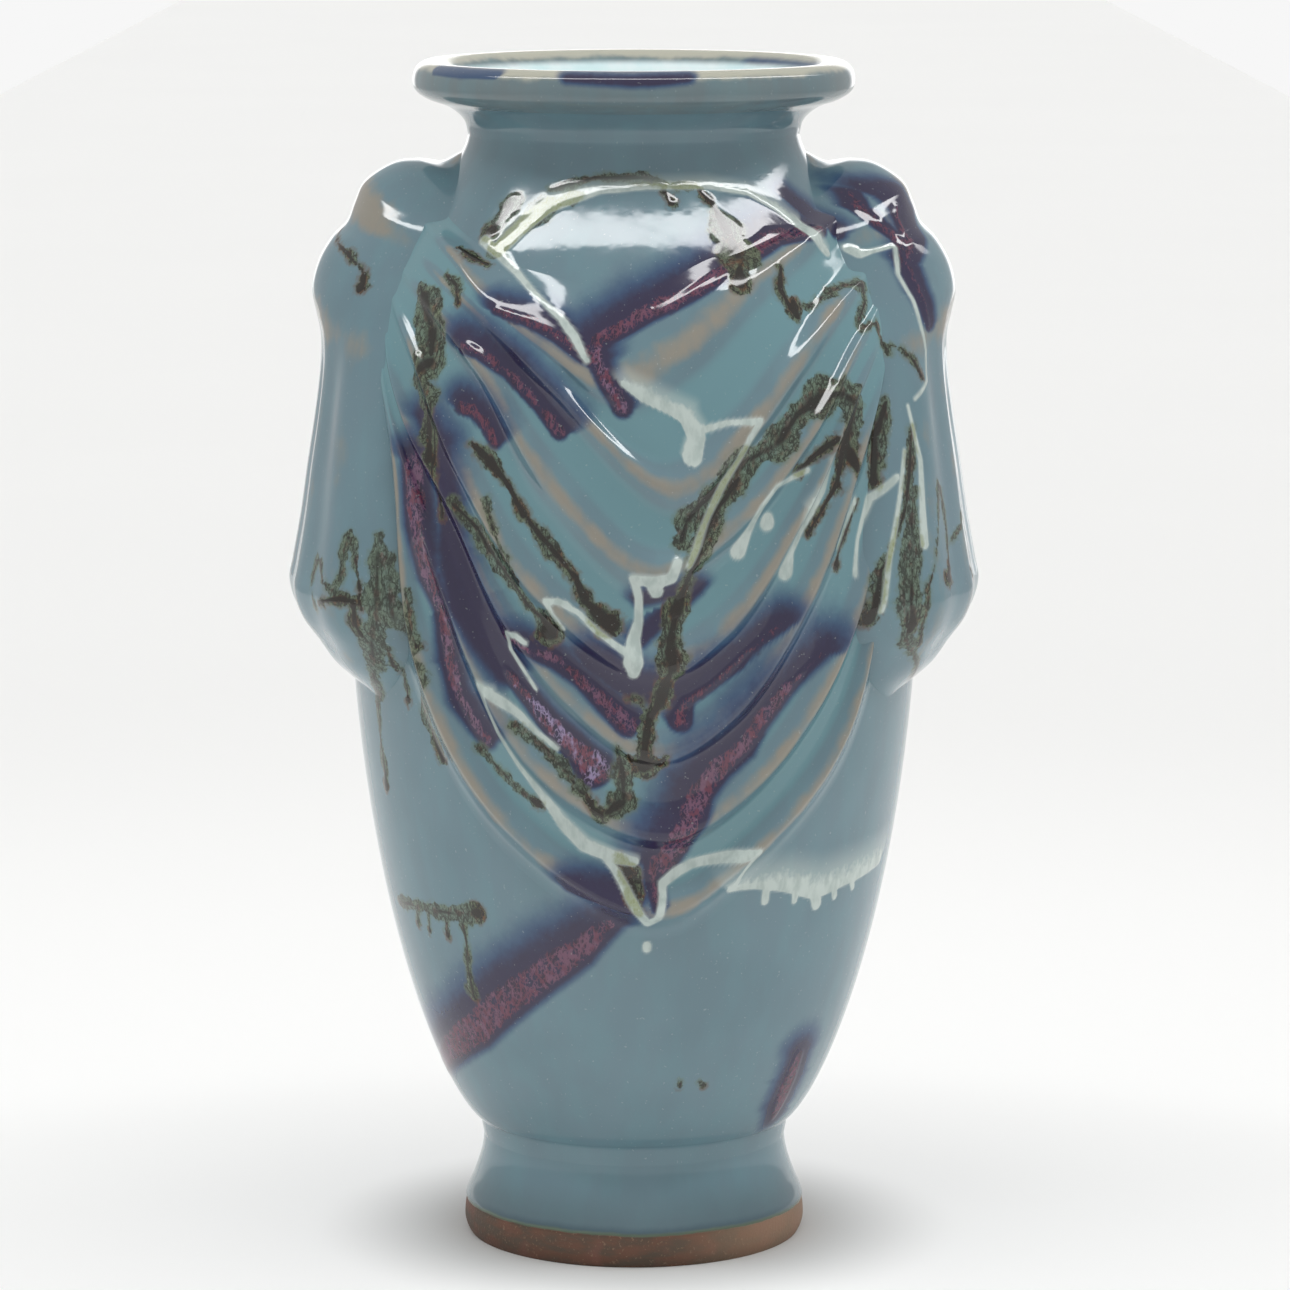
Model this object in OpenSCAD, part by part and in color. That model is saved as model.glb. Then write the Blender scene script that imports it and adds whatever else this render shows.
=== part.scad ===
// Stoneware vase with cloth-like drapery luted round the shoulder.
// Millimetres, +Z up, origin at the centre of the foot's resting face, front towards -Y.

/* [Foot] */
// Widest radius of the foot
foot_r = 45.1; // [38:0.1:54]
// Height from the resting face to the seat of the body
foot_h = 26; // [21:0.5:31]
// Height at which the foot is widest
heel_h = 4; // [3:0.5:6]
// How far the bottom edge is drawn in
heel_round = 1.3; // [0.5:0.1:2.5]
// Radial width of the resting face
foot_ring_w = 9; // [7:0.5:12]

/* [Floor] */
// Thickness of the floor slab
floor_t = 8; // [6:0.5:10]
// Width of the ledge that carries the slab
floor_ledge = 3; // [2:0.5:4]

/* [Body] */
// Radius of the waist between foot and body
waist_r = 40; // [35:0.5:44]
// Height of the short straight waist
waist_h = 5; // [4:0.5:6]
// Radius at the widest place
belly_r = 75.3; // [62:0.1:91]
// Height from the waist to the widest place
lower_h = 169; // [140:1:203]
// Height from the widest place to the narrowest part of the neck
shoulder_h = 91; // [76:1:110]
// Thickness of the thrown wall
wall_t = 6; // [5:0.5:7.5]

/* [Neck and rim] */
// Narrowest radius of the neck
neck_r = 43; // [38:0.5:52]
// Height of the neck collar below its narrowest place
collar_drop = 8; // [6:0.5:10]
// Radius of the curve that flares the neck out
flare_r = 8; // [7:0.5:9.5]
// Radius of the rolled rim's section
roll_r = 5.75; // [5:0.05:7]
// How deep the rim roll is bedded in the neck
roll_bed = 0.5; // [0.3:0.1:1]

/* [Drapery] */
// Thickness of the cloth sheet between its folds
cloth_t = 2.4; // [1.8:0.1:3.2]
// Height of a fold above the sheet
fold_h = 3.4; // [2:0.1:4.5]
// Number of hanging folds
fold_count = 6; // [4:1:7]
// Thickness of the slip bed under each luted piece
slip_bed = 0.25; // [0.2:0.05:0.4]
// Half the angle round the vase that a drape covers, in degrees
drape_half = 60; // [52:1:64]
// Drop from the neck's narrowest place to the ties of the gathers
tie_drop = 57; // [50:1:65]
// Height from the lowest fold to the highest one at the middle of a drape
drape_drop = 132; // [110:1:158]
// How far above the tie the highest fold meets the gather
top_rise = 36; // [30:1:43]
// How far above the tie the lowest fold meets the gather
low_rise = 4; // [2:1:8]

/* [Gathers and tails] */
// How far a gather stands out from the wall
gather_out = 20; // [14:0.5:24]
// Drop from the neck's narrowest place to the top of the gathers
gather_gap = 6; // [4:0.5:10]
// How far a tail stands out at its hem
tail_out = 14.6; // [10:0.1:18]
// Length of a tail below the tie
tail_len = 84; // [68:1:100]
// Number of pleats in a tail
pleat_count = 5; // [3:1:6]
// Depth of the pleats
pleat_h = 2.6; // [1.5:0.1:3.5]

/* [Hidden] */
$fn = 96;

// Heights that follow from the driving sizes
waist_z = foot_h + waist_h;
join_z = waist_z + lower_h / 2;
belly_z = waist_z + lower_h;
neck_z = belly_z + shoulder_h;
collar_z = neck_z - collar_drop;
roll_z = neck_z + flare_r + roll_r - roll_bed;
roll_c = neck_r + flare_r + roll_bed;
tie_z = neck_z - tie_drop;
floor_z = foot_h - floor_t;
recess_r = foot_r - foot_ring_w - floor_ledge;
slab_r = recess_r + floor_ledge;

// How full the lower body and the shoulder are: exponents of their curves
waist_swell = 0.9;
lower_full = 2.15;
lower_ease = 0.72;
shoulder_full = 3;
shoulder_ease = 1.55;

// Steps along the curved outlines
foot_steps = 14;
lower_steps = 28;
belly_steps = 12;
shoulder_steps = 28;
flare_steps = 12;
collar_steps = 6;

// Angles that the neck's outer and inner curves turn through, which end inside the roll
flare_turn = 84;
mouth_turn = 66;

// Colours of the glaze and the bare clay
glaze = [0.43, 0.55, 0.58];
glaze_cloth = [0.40, 0.58, 0.62];
glaze_violet = [0.25, 0.20, 0.42];
bare_clay = [0.55, 0.38, 0.27];

// 0 below a, 1 above b, and a smooth change between
function ease(a, b, x) = let (t = min(1, max(0, (x - a) / (b - a)))) t * t * (3 - 2 * t);

// Outer radius of the thrown wall at height z, from the waist to the neck
function wall_r(z) =
    z < waist_z ? waist_r + waist_swell * max(0, z - foot_h) / waist_h
    : z < belly_z ? let (s = (z - waist_z) / lower_h, w = waist_r + waist_swell)
        w + (belly_r - w) * pow(1 - pow(1 - s, lower_full), lower_ease)
    : let (u = min(1, max(0, (neck_z - z) / shoulder_h)))
        neck_r + (belly_r - neck_r) * pow(1 - pow(1 - u, shoulder_full), shoulder_ease);

// Outer radius of the foot at height z: an ogee from the heel up to the waist
function foot_side(z) =
    z < heel_h ? foot_r - heel_round * pow(1 - z / heel_h, 2)
    : waist_r + (foot_r - waist_r) * (1 + cos(180 * (z - heel_h) / (foot_h - heel_h))) / 2;

// Heights of the outline's points, closer together near the waist, where the curve is tight
crowd = 1.7;
lower_zs = concat([foot_h], [for (i = [0 : lower_steps])
    waist_z + (join_z - waist_z) * pow(i / lower_steps, crowd)]);
belly_zs = [for (i = [0 : belly_steps]) join_z + (belly_z - join_z) * i / belly_steps];
shoulder_zs = [for (i = [0 : shoulder_steps]) belly_z + (collar_z - belly_z) * i / shoulder_steps];

// ---- Thrown pieces ----

module foot_ring() {
    side = [for (i = [0 : foot_steps]) let (z = foot_h * i / foot_steps) [foot_side(z), z]];
    color(bare_clay)
        difference() {
            rotate_extrude() polygon(concat([[0, 0]], side, [[0, foot_h]]));
            translate([0, 0, -1]) cylinder(r = recess_r, h = foot_h + 2);
            translate([0, 0, floor_z]) cylinder(r = slab_r, h = floor_t + 1);
        }
}

module floor_slab() {
    color(glaze) translate([0, 0, floor_z]) cylinder(r = slab_r, h = floor_t);
}

// A ring of the wall, whose outline has points at the heights zs
module thrown_ring(zs) {
    outside = [for (z = zs) [wall_r(z), z]];
    inside = [for (i = [len(zs) - 1 : -1 : 0]) [wall_r(zs[i]) - wall_t, zs[i]]];
    rotate_extrude() polygon(concat(outside, inside));
}

module lower_wall() {
    color(glaze) thrown_ring(lower_zs);
}

module belly_wall() {
    color(glaze) thrown_ring(belly_zs);
}

module shoulder_wall() {
    color(glaze) thrown_ring(shoulder_zs);
}

module roll_solid() {
    rotate_extrude() translate([roll_c, roll_z]) circle(r = roll_r);
}

// The neck follows the body's outline up to its narrowest place and then flares under the roll
module neck_collar() {
    centre = [neck_r + flare_r, neck_z];
    collar_zs = [for (i = [0 : collar_steps]) collar_z + collar_drop * i / collar_steps];
    flare = [for (i = [1 : flare_steps]) let (a = 180 - flare_turn * i / flare_steps)
        centre + flare_r * [cos(a), sin(a)]];
    mouth = [for (i = [flare_steps : -1 : 1]) let (a = 180 - mouth_turn * i / flare_steps)
        centre + (flare_r + wall_t) * [cos(a), sin(a)]];
    color(glaze)
        difference() {
            rotate_extrude() polygon(concat(
                [for (z = collar_zs) [wall_r(z), z]],
                flare,
                [[roll_c, roll_z]],
                mouth,
                [for (i = [collar_steps : -1 : 0]) [wall_r(collar_zs[i]) - wall_t, collar_zs[i]]]));
            roll_solid();
        }
}

module rim_roll() {
    color(glaze_violet) roll_solid();
}

// ---- Luted drapery ----
// Each piece is a closed skin over a grid: rows run down the vase and columns run round it.

function on_vase(a, z, r) = [r * sin(a), -r * cos(a), z];

function skin_faces(rows, cols) =
    let (n = rows * cols)
    concat(
        [for (j = [0 : rows - 2], i = [0 : cols - 2])
            let (a = j * cols + i, b = a + 1, c = a + cols, d = c + 1)
            each [[a, b, c], [b, d, c], [n + a, n + c, n + b], [n + b, n + c, n + d]]],
        [for (i = [0 : cols - 2])
            let (a = i, b = i + 1, c = (rows - 1) * cols + i, d = c + 1)
            each [[n + a, n + b, b], [n + a, b, a], [c, d, n + d], [c, n + d, n + c]]],
        [for (j = [0 : rows - 2])
            let (a = j * cols, c = a + cols, b = a + cols - 1, d = c + cols - 1)
            each [[a, c, n + c], [a, n + c, n + a], [d, b, n + b], [d, n + b, n + d]]]);

// places holds rows of [angle, height, thickness over the slip bed]
module luted_skin(places) {
    rows = len(places);
    cols = len(places[0]);
    outer = [for (row = places, p = row) on_vase(p[0], p[1], wall_r(p[1]) + slip_bed + p[2])];
    inner = [for (row = places, p = row) on_vase(p[0], p[1], wall_r(p[1]) + slip_bed)];
    polyhedron(points = concat(outer, inner), faces = skin_faces(rows, cols), convexity = 6);
}

// Heights of the drape: the upper hem and the lower hem at the centre and at the gathers
upper_mid = tie_z - 1;
lower_mid = upper_mid - drape_drop;
upper_side = tie_z + top_rise;
lower_side = tie_z + low_rise;

// Share of the rise from the centre (s = 0) to the gather (s = 1): upper folds are slack
// cowls, and lower ones hang as deep loops that climb steeply near the gather
turn = 0.1;       // how softly a cowl turns at the centre
hang = 1.8;       // exponent of both curves
climb = 0.4;      // share of a loop's rise that its steep side makes
climb_from = 0.68;
climb_to = 0.95;
function cowl(s) =
    1 - pow(1 - (sqrt(s * s + turn * turn) - turn) / (sqrt(1 + turn * turn) - turn), hang);
function loop(s) = (1 - climb) * pow(s, hang) + climb * ease(climb_from, climb_to, s);

// Height of the fold line t at s: 0 is the first fold and 1 the last
function fold_z(t, s) =
    let (mid = upper_mid + (lower_mid - upper_mid) * t,
         side = upper_side + (lower_side - upper_side) * t)
    mid + (side - mid) * ((1 - t) * cowl(s) + t * loop(s));

// Height of the cloth above the slip bed: narrow crests between broad hollows, which
// flatten where the folds are drawn together
crest = 1.5;      // exponent that narrows the crests
drawn = 0.55;     // share of a fold's height that is lost at the gather
function fold_rise(t, s) =
    cloth_t + fold_h * (1 - drawn * ease(drawn, 1, s))
        * pow(0.5 + 0.5 * cos(360 * t * fold_count), crest);

drape_rows = round(5.5 * fold_count);
drape_cols = 38;
hem_turn = 0.35 / fold_count; // how far a hem runs on beyond the last crest

module drape() {
    luted_skin([for (j = [0 : drape_rows])
        let (t = (1 + 2 * hem_turn) * j / drape_rows - hem_turn)
        [for (i = [0 : drape_cols])
            let (a = drape_half * (2 * i / drape_cols - 1), s = abs(a) / drape_half)
            [a, fold_z(t, s), fold_rise(t, s)]]]);
}

module front_drape() {
    color(glaze_cloth) drape();
}

module back_drape() {
    color(glaze_cloth) rotate([0, 0, 180]) drape();
}

// The side pieces' edges stand a seam's width clear of the drape, in degrees
seam = 1.2;
side_half = 90 - drape_half - seam;

gather_h = tie_drop - gather_gap;
gather_rows = 20;
gather_cols = 14;
edge_t = 0.4 * cloth_t; // thickness of a side piece at its edges
edge_at = 0.95;         // share of the round section at which the edge is cut
round_off = 0.5;        // exponent of the round section

// Bunched cloth in lobes, thin at the tie and round at the top. v runs up from the tie,
// and s from the middle to the edge.
crown = 0.86;     // share of a gather's height at which its round top begins
tied = 0.45;      // share of its thickness that is left at the tie
lobe_count = 4;
lobe_h = 0.05;    // height of a lobe as a share of the thickness
function gather_rise(v, s) =
    let (swell = tied + (1 - tied) * ease(0, tied, v),
         top = v < crown ? 1 : sqrt(1 - 0.75 * pow((v - crown) / (1 - crown), 2)),
         lobes = 1 + lobe_h * cos(360 * lobe_count * (v - crown)))
    edge_t + (gather_out - edge_t) * swell * top * lobes
        * pow(cos(90 * s), round_off) * (1 - 2 * lobe_h * pow(sin(270 * s), 2));

module gather() {
    luted_skin([for (j = [0 : gather_rows])
        let (v = 1 - j / gather_rows)
        [for (i = [0 : gather_cols])
            let (a = side_half * (2 * i / gather_cols - 1))
            [90 + a, tie_z + slip_bed + gather_h * v,
                gather_rise(v, abs(a) / side_half * edge_at)]]]);
}

module left_gather() {
    color(glaze_violet) rotate([0, 0, 180]) gather();
}

module right_gather() {
    color(glaze_violet) gather();
}

tail_rows = 20;
tail_cols = 30;
tail_edge = drape_half - 11; // a tail reaches no nearer to the front than this angle
tail_tuck = 6;               // degrees by which its hem is drawn in

// Angle at which the drape's lower hem passes the height z, found by halving
function hem_angle(z, lo = 0, hi = 1, steps = 12) =
    let (mid = (lo + hi) / 2)
    steps == 0 ? mid * drape_half
    : fold_z(1 + hem_turn, mid) < z ? hem_angle(z, mid, hi, steps - 1)
    : hem_angle(z, lo, mid, steps - 1);

// A tail flares out to its fullest place and then turns in under itself at the hem.
// v runs down from the tie, and s is 0 at the middle and 1 at the edges.
tail_full = 0.72;   // share of its length at which a tail stands out furthest
tail_start = 0.55;  // share of that thickness at the tie
function tail_rise(v, s) =
    let (out = v < tail_full ? tail_start + (1 - tail_start) * pow(v / tail_full, 2)
             : cos(90 * ease(tail_full, 1, v)),
         pleats = 1 - pleat_h / tail_out * (1 - cos(360 * pleat_count * s)) / 2)
    edge_t + tail_out * out * pow(cos(90 * s), round_off) * pleats;

module tail() {
    luted_skin([for (j = [0 : tail_rows])
        let (v = j / tail_rows,
             z = tie_z - slip_bed - tail_len * v,
             half = 90 - seam - max(tail_edge, hem_angle(z)) - tail_tuck * ease(tail_full, 1, v))
        [for (i = [0 : tail_cols])
            let (s = 2 * i / tail_cols - 1)
            [90 + half * s, z, tail_rise(v, s * edge_at)]]]);
}

module left_tail() {
    color(glaze) rotate([0, 0, 180]) tail();
}

module right_tail() {
    color(glaze) tail();
}

foot_ring();
floor_slab();
lower_wall();
belly_wall();
shoulder_wall();
neck_collar();
rim_roll();
front_drape();
back_drape();
left_gather();
right_gather();
left_tail();
right_tail();
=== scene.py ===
"""Builds the finished look of a stoneware vase with luted, cloth-like drapery under a run glaze."""

import math

import bpy
import numpy as np
from bpy.props import FloatProperty, FloatVectorProperty, PointerProperty
from bpy.types import Operator, Panel, PropertyGroup
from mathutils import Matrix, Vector


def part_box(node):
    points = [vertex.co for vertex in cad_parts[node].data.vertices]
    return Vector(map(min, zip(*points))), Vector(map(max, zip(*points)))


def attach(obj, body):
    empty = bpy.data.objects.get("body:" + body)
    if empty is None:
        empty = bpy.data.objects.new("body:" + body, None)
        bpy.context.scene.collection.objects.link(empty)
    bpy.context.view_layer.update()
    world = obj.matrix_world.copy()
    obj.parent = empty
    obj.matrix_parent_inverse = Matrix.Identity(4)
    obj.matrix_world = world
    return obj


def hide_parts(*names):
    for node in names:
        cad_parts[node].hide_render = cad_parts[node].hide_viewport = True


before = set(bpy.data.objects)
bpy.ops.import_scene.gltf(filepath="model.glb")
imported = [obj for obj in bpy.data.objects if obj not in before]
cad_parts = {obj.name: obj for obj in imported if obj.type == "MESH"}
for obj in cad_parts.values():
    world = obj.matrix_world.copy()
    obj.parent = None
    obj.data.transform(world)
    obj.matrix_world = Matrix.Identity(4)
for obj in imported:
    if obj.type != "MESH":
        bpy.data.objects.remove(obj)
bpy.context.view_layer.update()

bl_info = {
    "name": "Draped Stoneware Vase",
    "version": (1, 0, 0),
    "blender": (4, 5, 0),
    "location": "View3D > Sidebar > Vase",
    "description": "Throws, drapes and glazes a stoneware vase round its measured frame",
    "category": "Add Mesh",
}

MM = 0.001


def edges(node):
    """Lowest and highest corner of a frame node, in millimetres."""
    low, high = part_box(node)
    return np.array(low) / MM, np.array(high) / MM


# Sizes that the frame fixes, in millimetres
FOOT_R, FOOT_H = edges("foot_ring")[1][0], edges("foot_ring")[1][2]
JOIN_Z = edges("lower_wall")[1][2]
BELLY_R, BELLY_Z = edges("belly_wall")[1][0], edges("belly_wall")[1][2]
COLLAR_Z = edges("shoulder_wall")[1][2]
RIM_Z = edges("rim_roll")[1][2]
SLAB_R, SLAB_TOP = edges("floor_slab")[1][0], edges("floor_slab")[1][2]
SLAB_LOW = edges("floor_slab")[0][2]
TIE_Z = edges("left_gather")[0][2]


# ---- Curves and outlines ----

def ease(low, high, x):
    """0 below low, 1 above high, and 3t^2 - 2t^3 between."""
    t = np.clip((x - low) / (high - low), 0, 1)
    return t * t * (3 - 2 * t)


def through(points, u):
    """Catmull-Rom curve through the points, where u counts from 0 at the first to n - 1 at the last."""
    points = np.asarray(points, float)
    held = np.concatenate([2 * points[:1] - points[1:2], points, 2 * points[-1:] - points[-2:-1]])
    i = np.clip(np.floor(u).astype(int), 0, len(points) - 2)
    t = (u - i).reshape((-1,) + (1,) * (points.ndim - 1))
    a, b, c, d = held[i], held[i + 1], held[i + 2], held[i + 3]
    bend = 2 * a - 5 * b + 4 * c - d
    return b + (c - a) * t / 2 + bend * t ** 2 / 2 + (3 * b - 3 * c + d - a) * t ** 3 / 2


def even(points, count):
    """Count places along the Catmull-Rom curve through the points, at equal steps of its length."""
    fine = through(points, np.linspace(0, len(points) - 1, 40 * len(points)))
    run = np.concatenate([[0], np.cumsum(np.linalg.norm(np.diff(fine, axis=0), axis=1))])
    at = np.linspace(0, run[-1], count)
    return np.stack([np.interp(at, run, fine[:, k]) for k in range(fine.shape[1])], -1)


WAIST_R, WAIST_SPREAD = 40.0, 0.9  # radius at the foot, and how much it gains up to WAIST_Z
WAIST_Z = FOOT_H + 5
NECK_R, NECK_Z = 43.0, COLLAR_Z + 8
WALL = 6.0                         # how thick the thrown wall is
DIP, DIP_Z, DIP_REACH = 0.35, COLLAR_Z - 10, 9


def wall_r(z):
    """Radius of the thrown wall at height z: a short waist, a full lower body and a rounded shoulder.

    Above the waist s is the share of the lower height and the radius is
    w + (belly - w)(1 - (1 - s)^2.15)^0.72; above the belly u is the share left of the shoulder
    and the radius is neck + (belly - neck)(1 - (1 - u)^3)^1.55, less a bell-shaped throwing dip.
    """
    z = np.asarray(z, float)
    base = WAIST_R + WAIST_SPREAD
    waist = WAIST_R + WAIST_SPREAD * np.clip((z - FOOT_H) / (WAIST_Z - FOOT_H), 0, 1)
    s = np.clip((z - WAIST_Z) / (BELLY_Z - WAIST_Z), 0, 1)
    lower = base + (BELLY_R - base) * (1 - (1 - s) ** 2.15) ** 0.72
    u = np.clip((NECK_Z - z) / (NECK_Z - BELLY_Z), 0, 1)
    shoulder = NECK_R + (BELLY_R - NECK_R) * (1 - (1 - u) ** 3) ** 1.55
    shoulder = shoulder - DIP * np.exp(-((z - DIP_Z) / DIP_REACH) ** 2)
    return np.where(z < WAIST_Z, waist, np.where(z < BELLY_Z, lower, shoulder))


def wall_lean(z):
    """Radial and upward parts of the wall's outward direction at height z."""
    slope = (wall_r(z + 0.05) - wall_r(z - 0.05)) / 0.1
    length = np.sqrt(1 + slope ** 2)
    return 1 / length, -slope / length


LENGTH_Z = np.linspace(FOOT_H, NECK_Z, 800)
LENGTH_S = np.concatenate([[0], np.cumsum(np.hypot(np.diff(LENGTH_Z), np.diff(wall_r(LENGTH_Z))))])


def along_wall(z):
    """Length of the wall's outline from the foot up to height z."""
    return np.interp(z, LENGTH_Z, LENGTH_S) + np.minimum(z - FOOT_H, 0) + np.maximum(z - NECK_Z, 0)


def round_vase(angle, r, z):
    """A place at an angle in degrees from the front towards the right, a radius and a height."""
    a = np.radians(angle)
    return np.stack([r * np.sin(a), -r * np.cos(a), z + 0 * a], -1)


def on_wall(angle, z, rise):
    """A place that stands rise millimetres off the wall, along the wall's outward direction."""
    out, up = wall_lean(z)
    return round_vase(angle, wall_r(z) + rise * out, z + rise * up)


# ---- Runs of glaze ----
# Each place on a run is an angle from the front in degrees, a height and a half-width in millimetres.

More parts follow.
